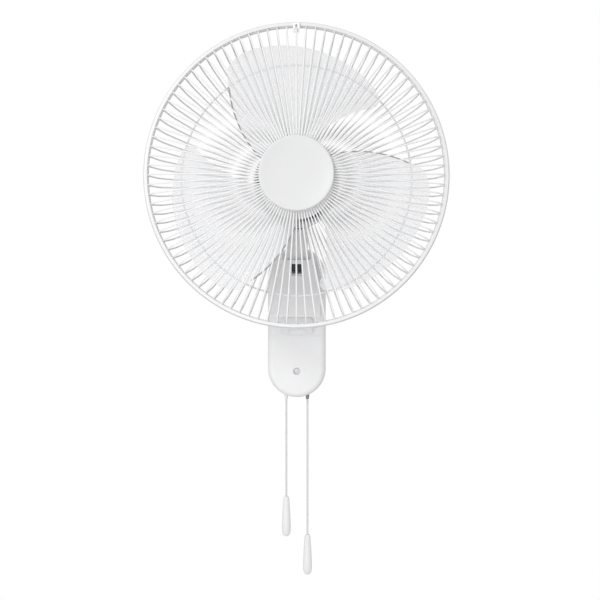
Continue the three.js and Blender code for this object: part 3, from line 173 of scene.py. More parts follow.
def sweepRod(name, path, radius, sides, across):
    # A round bar along a path that stays in one plane; across is square to that plane
    step = 0.001
    deselectAll()
    bpy.ops.mesh.primitive_circle_add(vertices=sides, radius=radius, fill_type="NGON")
    bar = namePiece(name)
    editPiece(bar)
    for _ in path[1:]:
        extrudeBy(0, 0, step)
    leaveEdit()
    last = len(path) - 1
    for vertex in bar.data.vertices:
        k = round(vertex.co.z / step)
        heading = (path[min(k + 1, last)] - path[max(k - 1, 0)]).normalized()
        upward = across.cross(heading)
        vertex.co = path[k] + across * vertex.co.x + upward * vertex.co.y
    editPiece(bar)
    tidyNormals()
    leaveEdit()
    return bar


def modify(piece, kind, **settings):
    # Adds one modifier and applies it
    pickOnly(piece)
    change = piece.modifiers.new(kind, kind)
    for key, value in settings.items():
        setattr(change, key, value)
    bpy.ops.object.modifier_apply(modifier=change.name)


def combine(piece, tool, how):
    modify(piece, "BOOLEAN", operation=how, object=tool, solver="EXACT")
    bpy.data.objects.remove(tool)


def cut(piece, tool):
    combine(piece, tool, "DIFFERENCE")


def soften(piece, width, segments=3, angle=35):
    modify(piece, "BEVEL", width=width, segments=segments, limit_method="ANGLE",
           angle_limit=math.radians(angle))


def joinPieces(piece, *others):
    pickOnly(piece)
    for other in others:
        other.select_set(True)
    bpy.ops.object.join()
    return piece


def copyAround(piece, count, axis=(0, 1, 0), centre=fanAxis):
    editPiece(piece)
    bpy.ops.mesh.spin(steps=count - 1, dupli=True, angle=2 * math.pi * (count - 1) / count,
                      center=centre, axis=axis)
    leaveEdit()


def roundCorners(points, cutBack, steps):
    # Swaps each inner corner of a path for a short smooth bend
    path = [points[0]]
    for before, corner, after in zip(points, points[1:], points[2:]):
        reach = min(cutBack, (corner - before).length / 2, (after - corner).length / 2)
        start = corner + (before - corner).normalized() * reach
        end = corner + (after - corner).normalized() * reach
        for k in range(steps + 1):
            t = k / steps
            path.append(start.lerp(corner, t).lerp(corner.lerp(end, t), t))
    return path + [points[-1]]


def arcPoints(centre, radius, start, end, steps):
    turns = [math.radians(start + (end - start) * k / steps) for k in range(steps + 1)]
    return [(centre[0] + radius * math.cos(a), centre[1] + radius * math.sin(a)) for a in turns]


# Finishes

def newGroup(name, inputs, outputs):
    group = bpy.data.node_groups.new(name, "ShaderNodeTree")
    for label, kind, value in inputs:
        socket = group.interface.new_socket(name=label, in_out="INPUT", socket_type=kind)
        socket.default_value = value
    for label, kind in outputs:
        group.interface.new_socket(name=label, in_out="OUTPUT", socket_type=kind)
    return group, group.nodes.new("NodeGroupInput"), group.nodes.new("NodeGroupOutput")


def setInputs(node, **values):
    # A space in an input's name is written as an underscore
    for label, value in values.items():
        node.inputs[label.replace("_", " ")].default_value = value


def addNoise(tree, vector, scale, detail=2):
    noise = tree.nodes.new("ShaderNodeTexNoise")
    tree.links.new(vector, noise.inputs["Vector"])
    tree.links.new(scale, noise.inputs["Scale"])
    setInputs(noise, Detail=detail)
    return noise.outputs["Fac"]


def multiply(tree, first, second):
    product = tree.nodes.new("ShaderNodeMath")
    product.operation = "MULTIPLY"
    tree.links.new(first, product.inputs[0])
    tree.links.new(second, product.inputs[1])
    return product.outputs["Value"]


def makeGrainGroup():
    group, given, result = newGroup(
        "surfaceGrain",
        [("Fine Scale", "NodeSocketFloat", 900), ("Fine Depth", "NodeSocketFloat", 0.00003),
         ("Blotch Scale", "NodeSocketFloat", 12), ("Stretch", "NodeSocketVector", (1, 1, 1))],
        [("Normal", "NodeSocketVector"), ("Blotch", "NodeSocketFloat")])
    add, link = group.nodes.new, group.links.new
    place, stretch = add("ShaderNodeTexCoord"), add("ShaderNodeMapping")
    bump, spread = add("ShaderNodeBump"), add("ShaderNodeMapRange")
    link(place.outputs["Object"], stretch.inputs["Vector"])
    link(given.outputs["Stretch"], stretch.inputs["Scale"])
    fine = addNoise(group, stretch.outputs["Vector"], given.outputs["Fine Scale"], 3)
    link(fine, bump.inputs["Height"])
    link(given.outputs["Fine Depth"], bump.inputs["Distance"])
    link(bump.outputs["Normal"], result.inputs["Normal"])
    blotch = addNoise(group, place.outputs["Object"], given.outputs["Blotch Scale"], 4)
    link(blotch, spread.inputs["Value"])
    setInputs(spread, From_Min=0.3, From_Max=0.7)
    link(spread.outputs["Result"], result.inputs["Blotch"])
    return group


def makeMaskGroup(name, scale, low, high, facesUp):
    # What faces up, or else what is sharp, broken up by noise
    group, given, result = newGroup(
        name, [("Amount", "NodeSocketFloat", 0.5), ("Scale", "NodeSocketFloat", scale)],
        [("Mask", "NodeSocketFloat")])
    add, link = group.nodes.new, group.links.new
    place, spread = add("ShaderNodeTexCoord"), add("ShaderNodeMapRange")
    if facesUp:
        parts = add("ShaderNodeSeparateXYZ")
        link(place.outputs["Normal"], parts.inputs["Vector"])
        measure = parts.outputs["Z"]
    else:
        measure = add("ShaderNodeNewGeometry").outputs["Pointiness"]
    link(measure, spread.inputs["Value"])
    setInputs(spread, From_Min=low, From_Max=high)
    patches = addNoise(group, place.outputs["Object"], given.outputs["Scale"])
    patchy = multiply(group, spread.outputs["Result"], patches)
    link(multiply(group, patchy, given.outputs["Amount"]), result.inputs["Mask"])
    return group


surfaceGrain = makeGrainGroup()
settledDust = makeMaskGroup("settledDust", 260, 0.1, 1, facesUp=True)
# The sharp-edge mask lightens edges: partly wear, partly a painted highlight
edgeWearAndHighlight = makeMaskGroup("edgeWearAndHighlight", 60, 0.51, 0.58, facesUp=False)


def describe(slot, pale, deep, rough, grain, **more):
    # Two colours and a range of roughness that the blotches mix, and the grain's scale and depth
    return {"slot": slot, "pale": pale, "deep": deep, "rough": rough, "grain": grain,
            "blotch": 12, "stretch": (1, 1, 1), "metal": 0, "alpha": 1, "dust": 0, "wear": 0,
            "coat": 0, **more}


# How much lighter sharp edges get: partly wear, partly a painted highlight
wornEdgeAndHighlight = {"gain": 1.5, "lift": 0.05}
dustColour = (0.7, 0.68, 0.65)
coatRoughness = 0.15
looks = {
    "whitePlastic": describe(
        "white_plastic", (0.92, 0.922, 0.927), (0.9, 0.902, 0.909), (0.3, 0.38), (1400, 0.000012),
        dust=0.1, coat=0.12),
    # A darker copy of the white plastic: painted shade that tones down the base, arm, foot cap,
    # handles and swing guide to balance the lighting
    "basePlasticShaded": describe(
        "white_plastic", (0.84, 0.842, 0.848), (0.815, 0.817, 0.824), (0.32, 0.4), (1400, 0.000012),
        dust=0.1),
    # A darker copy of the white plastic: painted shade that tones down the well lit centre cap
    "capPlasticShaded": describe(
        "white_plastic", (0.77, 0.772, 0.776), (0.75, 0.752, 0.758), (0.36, 0.42), (1800, 0.000008),
        dust=0.08),
    "whiteWire": describe(
        "white_wire", (0.89, 0.89, 0.895), (0.87, 0.87, 0.877), (0.28, 0.4), (700, 0.00004),
        blotch=40, dust=0.1),
    # A darker copy of the white wire: painted shade on the clamp band
    "bandWireShaded": describe(
        "white_wire", (0.84, 0.84, 0.845), (0.81, 0.81, 0.817), (0.28, 0.4), (700, 0.00004),
        blotch=40, dust=0.15),
    # Painted shade: the grey ring round the rear disc's rim, where the cap's shadow falls
    "ringPaintedShade": describe(
        "white_wire", (0.42, 0.42, 0.43), (0.36, 0.36, 0.37), (0.4, 0.5), (700, 0.00004),
        blotch=40),
    "bladePlastic": describe(
        "blade_plastic", (0.93, 0.932, 0.945), (0.91, 0.912, 0.927), (0.28, 0.36), (200, 0.00001),
        blotch=9, alpha=0.42),
    # Painted shade: the dark strip along each blade's trailing cut edge
    "bladeEdgeShade": describe(
        "blade_plastic", (0.4, 0.4, 0.415), (0.33, 0.33, 0.345), (0.3, 0.36), (200, 0.00001),
        blotch=30),
    # Dark plastic for the gland and the blade nut; also painted shadow on the rear disc and painted
    # shade on the neck's knuckle
    "darkPlasticAndShade": describe(
        "dark_plastic", (0.035, 0.035, 0.037), (0.02, 0.02, 0.022), (0.45, 0.6), (1200, 0.00003),
        dust=0.3, wear=0.2),
    "speedGuideGrey": describe(
        "dark_plastic", (0.26, 0.26, 0.27), (0.2, 0.2, 0.21), (0.4, 0.5), (1200, 0.00003),
        dust=0.1),
    "zincPlate": describe(
        "zinc_steel", (0.62, 0.63, 0.66), (0.48, 0.49, 0.5), (0.25, 0.42), (500, 0.00002), metal=1,
        blotch=120, wear=0.4),
    "dullZinc": describe(
        "zinc_steel", (0.86, 0.86, 0.87), (0.8, 0.8, 0.81), (0.45, 0.55), (500, 0.00002), metal=0.3,
        blotch=120),
    "darkSteel": describe(
        "dark_steel", (0.3, 0.31, 0.33), (0.2, 0.2, 0.21), (0.35, 0.5), (700, 0.00004), metal=1,
        blotch=90, stretch=(1, 12, 1), wear=0.5),
    "copperCoil": describe(
        "copper_wire", (0.6, 0.26, 0.1), (0.42, 0.16, 0.06), (0.3, 0.42), (160, 0.0003), metal=1,
        blotch=60, stretch=(3, 14, 3)),
    "turnedBrass": describe(
        "brass", (0.75, 0.56, 0.24), (0.6, 0.43, 0.17), (0.22, 0.34), (900, 0.00002), metal=1,
        blotch=80, wear=0.4),
    "castMetal": describe(
        "cast_aluminium", (0.72, 0.725, 0.74), (0.62, 0.625, 0.64), (0.42, 0.58), (420, 0.00012),
        metal=0.8, blotch=50, wear=0.5),
}


def mixColour(tree, mask, first, second):
    mix = tree.nodes.new("ShaderNodeMix")
    mix.data_type = "RGBA"
    tree.links.new(mask, mix.inputs["Factor"])
    for socket, colour in zip((mix.inputs[6], mix.inputs[7]), (first, second)):
        if isinstance(colour, tuple):
            socket.default_value = (*colour, 1)
        else:
            tree.links.new(colour, socket)
    return mix.outputs[2]


def placeGroup(tree, group, **values):
    node = tree.nodes.new("ShaderNodeGroup")
    node.node_tree = group
    setInputs(node, **values)
    return node


def makeFinish(name):
    look = looks[name]
    finish = bpy.data.materials.new(name)
    finish.use_nodes = True
    tree = finish.node_tree
    shader = tree.nodes["Principled BSDF"]
    scale, depth = look["grain"]
    grain = placeGroup(tree, surfaceGrain, Fine_Scale=scale, Fine_Depth=depth,
                       Blotch_Scale=look["blotch"], Stretch=look["stretch"])
    colour = mixColour(tree, grain.outputs["Blotch"], look["pale"], look["deep"])
    if look["dust"]:
        dust = placeGroup(tree, settledDust, Amount=look["dust"])
        colour = mixColour(tree, dust.outputs["Mask"], colour, dustColour)
    # Sharp edges are lightened, partly as wear and partly as a painted highlight
    if look["wear"]:
        wear = placeGroup(tree, edgeWearAndHighlight, Amount=look["wear"])
        bright = tuple(min(1, part * wornEdgeAndHighlight["gain"] + wornEdgeAndHighlight["lift"]) for part in look["pale"])
        colour = mixColour(tree, wear.outputs["Mask"], colour, bright)
    rough = tree.nodes.new("ShaderNodeMapRange")
    setInputs(rough, To_Min=look["rough"][0], To_Max=look["rough"][1])
    tree.links.new(grain.outputs["Blotch"], rough.inputs["Value"])
    tree.links.new(rough.outputs["Result"], shader.inputs["Roughness"])
    tree.links.new(colour, shader.inputs["Base Color"])
    tree.links.new(grain.outputs["Normal"], shader.inputs["Normal"])
    setInputs(shader, Metallic=look["metal"], Alpha=look["alpha"], Coat_Weight=look["coat"],
              Coat_Roughness=coatRoughness)
    return finish


finishes = {name: makeFinish(name) for name in looks}
# The first finish of a slot stands for it on the CAD pieces
finishOfSlot = {look["slot"]: name for name, look in reversed(looks.items())}
print("finishes ready")


def giveFinishes(piece, *names):
    for name in names:
        piece.data.materials.append(finishes[name])


def settle(piece, finish, body, *replaced, smooth=35):
    # Smooths the shading, gives the finish and hands the piece to its body
    pickOnly(piece)
    bpy.ops.object.transform_apply(location=True, rotation=True, scale=True)
    bpy.ops.object.shade_smooth_by_angle(angle=math.radians(smooth))
    modify(piece, "WEIGHTED_NORMAL", keep_sharp=True)
    if not piece.data.materials:
        giveFinishes(piece, finish)
    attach(piece, body)
    if replaced:
        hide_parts(*replaced)
    return piece


# Camera, in front of the fan and a little below the head

camera = {"place": (0.0053, -1.701, 0.037), "lens": 58.98, "sensor": 36}
deselectAll()
bpy.ops.object.camera_add(location=camera["place"], rotation=(math.pi / 2, 0, 0))
shot = bpy.context.object
shot.data.lens = camera["lens"]
shot.data.sensor_width = camera["sensor"]
bpy.context.scene.camera = shot


# Pull cords with their handles

pullCords = {
    "across": 0.018, "forward": -0.031, "exit": -0.1183, "radius": 0.0017, "points": 24,
    "sides": {
        "speed": {"side": 1, "length": 0.2524, "handleTop": -0.361},
        "swing": {"side": -1, "length": 0.1874, "handleTop": -0.296},
    },
    "strands": 4, "climbRate": 2600, "strandDepth": 0.00025,
    "shaded": (0.57, 0.57, 0.58), "lit": (0.79, 0.79, 0.8), "rough": 0.75, "sheen": 0.2,
    "handleProfile": [  # shares of the radius and of the height
        (0, 0), (0.3, 0.003), (0.55, 0.018), (0.76, 0.045), (0.9, 0.085), (0.97, 0.13), (1, 0.2),
        (0.985, 0.3), (0.95, 0.42), (0.9, 0.55), (0.83, 0.68), (0.76, 0.8), (0.7, 0.9),
        (0.66, 0.945), (0.58, 0.975), (0.44, 0.993), (0.34, 1), (0.27, 0.985), (0.27, 0.85),
        (0, 0.85)],
    "handleRadius": 0.0075, "handleLength": 0.068, "handleSteps": 48,
}


def makeBraid():
    # Two sets of strands that wind round the cord in opposite ways
    braid = bpy.data.materials.new("braidedCord")
    braid.use_nodes = True
    tree = braid.node_tree
    add, link = tree.nodes.new, tree.links.new
    shader = tree.nodes["Principled BSDF"]
    place, parts = add("ShaderNodeTexCoord"), add("ShaderNodeSeparateXYZ")
    link(place.outputs["Object"], parts.inputs["Vector"])

    def maths(operation, first, second=None):
        node = add("ShaderNodeMath")
        node.operation = operation
        for socket, value in zip(node.inputs, (first, second)):
            if isinstance(value, (int, float)):
                socket.default_value = value
            elif value is not None:
                link(value, socket)
        return node.outputs["Value"]

    sideways = maths("SUBTRACT", maths("ABSOLUTE", parts.outputs["X"]), pullCords["across"])
    forward = maths("SUBTRACT", parts.outputs["Y"], pullCords["forward"])
    angle = maths("MULTIPLY", maths("ARCTAN2", forward, sideways), pullCords["strands"])
    climb = maths("MULTIPLY", parts.outputs["Z"], pullCords["climbRate"])
    strands = [maths("SINE", maths(how, climb, angle)) for how in ("ADD", "SUBTRACT")]
    height = maths("MULTIPLY", maths("ADD", maths("MAXIMUM", *strands), 1), 0.5)
    bump = add("ShaderNodeBump")
    setInputs(bump, Distance=pullCords["strandDepth"])
    link(height, bump.inputs["Height"])
    link(bump.outputs["Normal"], shader.inputs["Normal"])
    colour = mixColour(tree, height, pullCords["shaded"], pullCords["lit"])
    link(colour, shader.inputs["Base Color"])
    setInputs(shader, Roughness=pullCords["rough"], Sheen_Weight=pullCords["sheen"])
    return braid


braidedCord = makeBraid()


def cordCentre(side):
    return Vector((side * pullCords["across"], pullCords["forward"], 0))


def makePull(name, pull):
    centre = cordCentre(pull["side"])
    line = bpy.data.curves.new(name + "PullCord", "CURVE")
    line.dimensions = "3D"
    spline = line.splines.new("POLY")
    spline.points.add(pullCords["points"] - 1)
    for k, point in enumerate(spline.points):
        drop = pull["length"] * k / (pullCords["points"] - 1)
        point.co = (*centre.xy, pullCords["exit"] - drop, 1)
    line.bevel_depth = pullCords["radius"]
    line.bevel_resolution = 4
    line.use_fill_caps = True
    line.materials.append(braidedCord)
    cord = bpy.data.objects.new(name + "PullCord", line)
    bpy.context.collection.objects.link(cord)
    low = pull["handleTop"] - pullCords["handleLength"]
    profile = [(pullCords["handleRadius"] * r, low + pullCords["handleLength"] * h)
               for r, h in pullCords["handleProfile"]]
    handle = turnPiece(name + "PullHandle", profile, "Z", centre, pullCords["handleSteps"])
    settle(handle, "basePlasticShaded", name + "_pull", name + "_handle", smooth=50)
    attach(cord, name + "_pull")
    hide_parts(name + "_cord")


for name, pull in pullCords["sides"].items():
    makePull(name, pull)
print("pull cords ready")


# Wall base: a back shell and two front covers with the outline of a slot

base = {"half": 0.0485, "rise": 0.0775, "depth": 0.058, "seam": -0.022, "gap": 0.0003,
        "wall": 0.0025, "edge": 0.009, "edgeSteps": 10, "steps": 128,
        "coverSeam": -0.022, "coverGap": 0.0001, "screw": -0.082, "recess": 0.0062,
        "recessDepth": 0.0053, "cordHole": 0.0037, "cordCut": (-0.135, -0.114),
        "glandY": -0.0135, "glandHole": 0.0059, "glandCut": (-0.135, -0.11)}
hookSlots = {"x": 0.018, "z": 0.062, "half": 0.007, "deep": (-0.01, 0.002),
             "low": 0.001, "high": 0.01}
facesAlong = 0.9  # a normal with this share along a direction faces that way


def addBaseOutline(name, y):
    deselectAll()
    bpy.ops.mesh.primitive_circle_add(vertices=base["steps"], radius=base["half"], fill_type="NGON",
                                      location=(0, y, 0), rotation=(math.pi / 2, 0, 0))
    piece = namePiece(name)
    for vertex in piece.data.vertices:
        vertex.co.z += math.copysign(base["rise"], vertex.co.z + sameSpot)
    return piece


def insetAndPush(piece, normalY, inset, push):
    selectParts(piece, "FACE", lambda face: face.normal.y * normalY > facesAlong)
    bpy.ops.mesh.inset(thickness=inset, depth=0)
    extrudeBy(0, push, 0)


def makeBackShell():
    shell = addBaseOutline("backShell", 0)
    editPiece(shell)
    extrudeBy(0, base["seam"], 0)
    tidyNormals()
    insetAndPush(shell, -1, base["wall"], -base["seam"] - 2 * base["wall"])
    insetAndPush(shell, 1, base["wall"], -base["wall"])
    leaveEdit()
    for x in (-hookSlots["x"], hookSlots["x"]):
        for z in (-hookSlots["z"], hookSlots["z"]):
            slot = addBlock("hookSlot", (x - hookSlots["half"], x + hookSlots["half"]),
                            hookSlots["deep"], (z - hookSlots["low"], z + hookSlots["high"]))
            cut(shell, slot)
    hole = addRod("glandHole", base["glandHole"], *base["glandCut"], "Z", (0, base["glandY"], 0))
    cut(shell, hole)
    soften(shell, 0.0005, 2)
    settle(shell, "basePlasticShaded", "base", "base_back_shell")


def makeCover():
    cover = addBaseOutline("cover", base["seam"] - base["gap"])
    editPiece(cover)
    extrudeBy(0, -base["depth"] - base["seam"] + base["gap"], 0)
    tidyNormals()
    selectParts(cover, "EDGE",
                lambda edge: all(end.co.y < sameSpot - base["depth"] for end in edge.verts))
    bpy.ops.mesh.bevel(offset=base["edge"], segments=base["edgeSteps"], profile=0.5)
    selectParts(cover, "FACE", lambda face: face.normal.y > facesAlong)
    bpy.ops.mesh.delete(type="FACE")
    leaveEdit()
    return cover


def halveCover(cover, name, plane, keepUpper):
    editPiece(cover)
    bpy.ops.mesh.bisect(plane_co=(0, 0, plane), plane_no=(0, 0, 1), clear_inner=keepUpper,
                        clear_outer=not keepUpper)
    leaveEdit()
    cover.name = cover.data.name = name
    modify(cover, "SOLIDIFY", thickness=base["wall"], offset=-1, use_even_offset=True)
    return cover


def makeCovers():
    upper = halveCover(makeCover(), "armCover", base["coverSeam"], True)
    soften(upper, 0.0002, 2)
    settle(upper, "basePlasticShaded", "base", "base_arm_cover")
    lower = halveCover(makeCover(), "switchCover", base["coverSeam"] - base["coverGap"], False)
    floorY = -base["depth"] + base["recessDepth"]
    place = (0, 0, base["screw"])
    cup = addRod("cup", base["recess"] + base["wall"], -base["depth"] + past, floorY + base["wall"],
                 "Y", place)
    combine(lower, cup, "UNION")
    recess = addRod("recess", base["recess"], -base["depth"] - past, floorY, "Y", place)
    cut(lower, recess)
    for side in (-1, 1):
        hole = addRod("cordHole", base["cordHole"], *base["cordCut"], "Z", cordCentre(side))
        cut(lower, hole)
    soften(lower, 0.0002, 2)
    settle(lower, "basePlasticShaded", "base", "base_switch_cover")


makeBackShell()
makeCovers()
print("wall base ready")


# Screws with a cross in the head

screws = {
    "cover": {"head": 0.0042, "seat": -0.0523, "height": 0.0026, "shank": 0.002, "tip": -0.02},
    "housing": {"head": 0.004, "seat": -0.0777, "height": 0.0024, "shank": 0.002, "tip": -0.0897,
                "x": 0.044},
    "point": 0.4, "side": 0.45, "shoulder": (0.82, 0.8), "crown": 0.45,  # shares of shank and head
    "cross": (0.62, 0.13), "crossDepth": 0.7, "steps": 40,
}


def makeScrew(name, size, place, body, node, finish, facing=-1):
    head, seat, shank, tip = size["head"], size["seat"], size["shank"], size["tip"]
    rise = facing * size["height"]
    shoulder, shoulderRise = screws["shoulder"]
    screw = turnPiece(name, [
        (0, tip), (shank * screws["point"], tip), (shank, tip + facing * shank), (shank, seat),
        (head, seat), (head, seat + rise * screws["side"]),
        (head * shoulder, seat + rise * shoulderRise), (head * screws["crown"], seat + rise),
        (0, seat + rise)], "Y", place, screws["steps"])
    depth = sorted((seat + rise + facing * past, seat + rise * (1 - screws["crossDepth"])))
    long, half = (head * share for share in screws["cross"])
    for x, z in ((long, half), (half, long)):
        bar = addBlock("bar", (place[0] - x, place[0] + x), depth, (place[2] - z, place[2] + z))
        cut(screw, bar)
    soften(screw, 0.00012, 2)
    settle(screw, finish, body, node)


makeScrew("coverScrew", screws["cover"], (0, 0, base["screw"]), "base", "switch_cover_screw",
          "dullZinc")
for side, word in ((-1, "left"), (1, "right")):
    place = (side * screws["housing"]["x"], 0, fanAxis.z)
    makeScrew("housingScrew_" + word, screws["housing"], place, "head", "housing_screw_" + word,
              "zincPlate", facing=1)


# Nipples that the cords leave through, and the cable gland

guides = {"steps": 40, "profile": [
    (0.002, -0.131), (0.0024, -0.131), (0.0034, -0.122), (0.0034, -0.115), (0.0052, -0.115),
    (0.0052, -0.113), (0.0034, -0.113), (0.0034, -0.106), (0.002, -0.106)]}
gland = {"steps": 40, "profile": [
    (0.0032, -0.128), (0.0046, -0.128), (0.0056, -0.1262), (0.0056, -0.1225), (0.0074, -0.1225),
    (0.0074, -0.1209), (0.0036, -0.118), (0.0032, -0.118)]}


def makeGuides():
    # The speed cord's guide is made a darker grey than the swing cord's guide
    for side, word, finish in ((-1, "swing", "basePlasticShaded"), (1, "speed", "speedGuideGrey")):
        guide = turnPiece(word + "Guide", guides["profile"], "Z", cordCentre(side), guides["steps"])
        soften(guide, 0.0003, 3)
        settle(guide, finish, "base", word + "_cord_guide")


def makeGland():
    inlet = turnPiece("cableInlet", gland["profile"], "Z", (0, base["glandY"], 0), gland["steps"])
    soften(inlet, 0.0003, 2)
    settle(inlet, "darkPlasticAndShade", "base", "cable_gland")


switchSprings = {"low": -0.096, "length": 0.028, "turns": 9, "coil": 0.0026, "wire": 0.0004,
                 "sides": 10, "steps": 32, "keep": 0.56}


def makeSpring(word, side):
    # A coil round the cord, built at one length; on the fan it shortens as its cord is pulled
    wire, low, turns = switchSprings["wire"], switchSprings["low"], switchSprings["turns"]
    deselectAll()
    bpy.ops.mesh.primitive_circle_add(
        vertices=switchSprings["sides"], radius=wire, location=(switchSprings["coil"], 0, 0),
        rotation=(math.pi / 2, 0, 0))
    spring = namePiece(word + "Spring")
    modify(spring, "SCREW", steps=switchSprings["steps"], render_steps=switchSprings["steps"],
           iterations=turns, screw_offset=(switchSprings["length"] - 2 * wire) / turns)
    editPiece(spring)
    tidyNormals()
    bpy.ops.mesh.fill_holes(sides=switchSprings["sides"])
    bpy.ops.mesh.normals_make_consistent(inside=False)
    selectAll()
    centre = cordCentre(side)
    bpy.ops.transform.translate(value=(*centre.xy, low + wire))
    leaveEdit()
    settle(spring, "zincPlate", "base", word + "_switch_spring", smooth=60)
    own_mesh(spring)


makeGuides()
makeGland()
makeSpring("speed", 1)
makeSpring("swing", -1)
print("screws, guides, gland and springs ready")


# Arm from the base up to the two ears of the tilt hinge

arm = {"back": -0.0583, "foot": 0.008, "footY": -0.0613, "bend": 0.033, "lipY": -0.16,
       "lipZ": 0.1003, "rootTop": 0.066, "rear": (0.022, 0.088), "dip": 0.002, "wall": 0.003,
       "ear": 0.016, "earInner": 0.0192, "earOuter": 0.0252, "earBase": 0.078,
       "footHalf": 0.0395, "flareHalf": 0.0385, "flareZ": 0.038, "taperZ": 0.0885, "top": 0.114,
       "frontLow": 0.007, "pocketFront": 0.005, "pocketBack": 0.024, "pocketDrop": 0.02,
       "window": (0.008, 0.0756, 0.0939), "rim": 0.0034, "rimTop": 0.1,
       "rimOut": (-0.0011, -0.0005), "rimIn": 0.0005, "wide": 0.06, "near": 0.02, "far": -0.19}


def underside(shiftY, shiftZ, steps=28):
    a = Vector((arm["lipY"], arm["lipZ"]))
    b = Vector((arm["footY"], arm["bend"]))
    c = Vector((arm["footY"], arm["foot"]))
    spots = [a.lerp(b, k / steps).lerp(b.lerp(c, k / steps), k / steps) for k in range(steps + 1)]
    return [(spot.x + shiftY, spot.y + shiftZ) for spot in spots]


def armFront(inset, low):
    foot, flare, top = (arm[key] - inset for key in ("footHalf", "flareHalf", "earOuter"))
    right = [(foot, low), (flare, arm["flareZ"]), (top, arm["taperZ"]), (top, arm["top"])]
    return [(-foot, low), *right, *[(-x, z) for x, z in right[:0:-1]]]


def makeArm():
    wide, wall, lipZ, rootTop = (arm[key] for key in ("wide", "wall", "lipZ", "rootTop"))
    pocketFront, pocketBack = arm["lipY"] + arm["pocketFront"], tiltAxis.y + arm["pocketBack"]
    rearReach, rear = arm["rear"]
    side = [(arm["back"], arm["foot"]), *underside(0, 0)[::-1], (pocketFront, lipZ),
            (tiltAxis.y - arm["ear"], lipZ - arm["dip"]), (tiltAxis.y + rearReach, rear),
            (arm["back"], rootTop)]
    body = addSlab("armBody", side, "X", -wide, wide)
    for sign in (-1, 1):
        low, high = sorted((sign * arm["earInner"], sign * arm["earOuter"]))
        ear = addRod("ear", arm["ear"], low, high, "X", (0, *tiltAxis.yz), steps=96)
        combine(body, ear, "UNION")
    front = addSlab("front", armFront(0, arm["frontLow"]), "Y", arm["far"], arm["near"])
    combine(body, front, "INTERSECT")
    soften(body, 0.0028, 4, 50)

    half, low, high = arm["window"]
    rimHalf = half + arm["rim"]
    deep = underside(arm["rimIn"], arm["rimIn"])
    rim = addSlab("rim", underside(*arm["rimOut"]) + deep[::-1], "X", -rimHalf, rimHalf)
    keep = addBlock("keep", (-wide, wide), (arm["far"], 0), (low - arm["rim"], arm["rimTop"]))
    combine(rim, keep, "INTERSECT")
    combine(body, rim, "UNION")

    inner = underside(wall, wall / 2)
    hollow = addSlab("hollow", [
        (0, inner[-1][1]), *inner[::-1], (pocketFront, lipZ + wall), (pocketBack, rear - wall),
        (arm["back"], rootTop - wall), (0, rootTop - wall)], "X", -wide, wide)
    front = addSlab("front", armFront(wall, 0), "Y", arm["far"], arm["near"])
    combine(hollow, front, "INTERSECT")
    keep = addBlock("keep", (-wide, wide), (arm["far"], arm["near"]), (-wide, arm["earBase"]))
    combine(hollow, keep, "INTERSECT")
    cut(body, hollow)

    pocket = addSlab("pocket", [
        *[spot for spot in inner if pocketFront < spot[0] < pocketBack],
        (pocketBack, arm["earBase"] - arm["pocketDrop"]), (pocketBack, arm["top"] + past),
        (pocketFront, arm["top"] + past), (pocketFront, lipZ - wall)],
        "X", -arm["earInner"], arm["earInner"])
    cut(body, pocket)
    window = addBlock("window", (-half, half), (arm["far"], tiltAxis.y), (low, high))
    cut(body, window)
    bolt = addRod("boltHole", hinge["hole"], -wide, wide, "X", (0, *tiltAxis.yz))
    cut(body, bolt)
    soften(body, 0.0006, 2, 45)
    settle(body, "basePlasticShaded", "base", "arm", smooth=30)


footCap = {"low": -0.0193, "high": 0.0077, "half": 0.0265, "lip": 0.0016, "topCorner": 0.006,
           "lowCorner": 0.003, "notch": (0.013, 0.002, 0.0075), "front": -0.09,
           "profile": [  # away from the arm's back, and up from the lower edge
               (0.0016, 0), (0.0087, 0.0095), (0.0097, 0.0115), (0.0078, 0.0175), (0.004, 0.024),
               (0.0025, 0.027)]}


def makeFootCap():
    low, high, half, back = footCap["low"], footCap["high"], footCap["half"], arm["back"]
    side = [(back, low), *[(back - out, low + up) for out, up in footCap["profile"]], (back, high)]
    cap = addSlab("footCap", side, "X", -half, half)
    top, bottom = footCap["topCorner"], footCap["lowCorner"]
    front = (arcPoints((half - top, high - top), top, 0, 90, 8)
             + arcPoints((top - half, high - top), top, 90, 180, 8)
             + arcPoints((bottom - half, low + bottom), bottom, 180, 270, 6)
             + arcPoints((half - bottom, low + bottom), bottom, 270, 360, 6))
    combine(cap, addSlab("front", front, "Y", footCap["front"], 0), "INTERSECT")
    notchHalf, below, above = footCap["notch"]
    notch = addBlock("notch", (-notchHalf, notchHalf), (footCap["front"], back - footCap["lip"]),
                     (low - below, low + above))
    cut(cap, notch)
    soften(cap, 0.0009, 3, 28)
    settle(cap, "basePlasticShaded", "base", "arm_foot_cap")


hinge = {"steps": 48, "hole": 0.0043, "bolt": [
    (0, -0.0302), (0.0034, -0.0302), (0.004, -0.0292), (0.004, 0.0255), (0.0075, 0.0255),
    (0.0075, 0.0268), (0.0068, 0.0277), (0.0052, 0.0282), (0, 0.0282)],
    "socket": (0.0028, 0.0262, 0.03), "nut": (0.0075, -0.0295, -0.0255), "nutBore": (-0.035, -0.02),
    "washer": (0.009, 0.0179, 0.0189)}


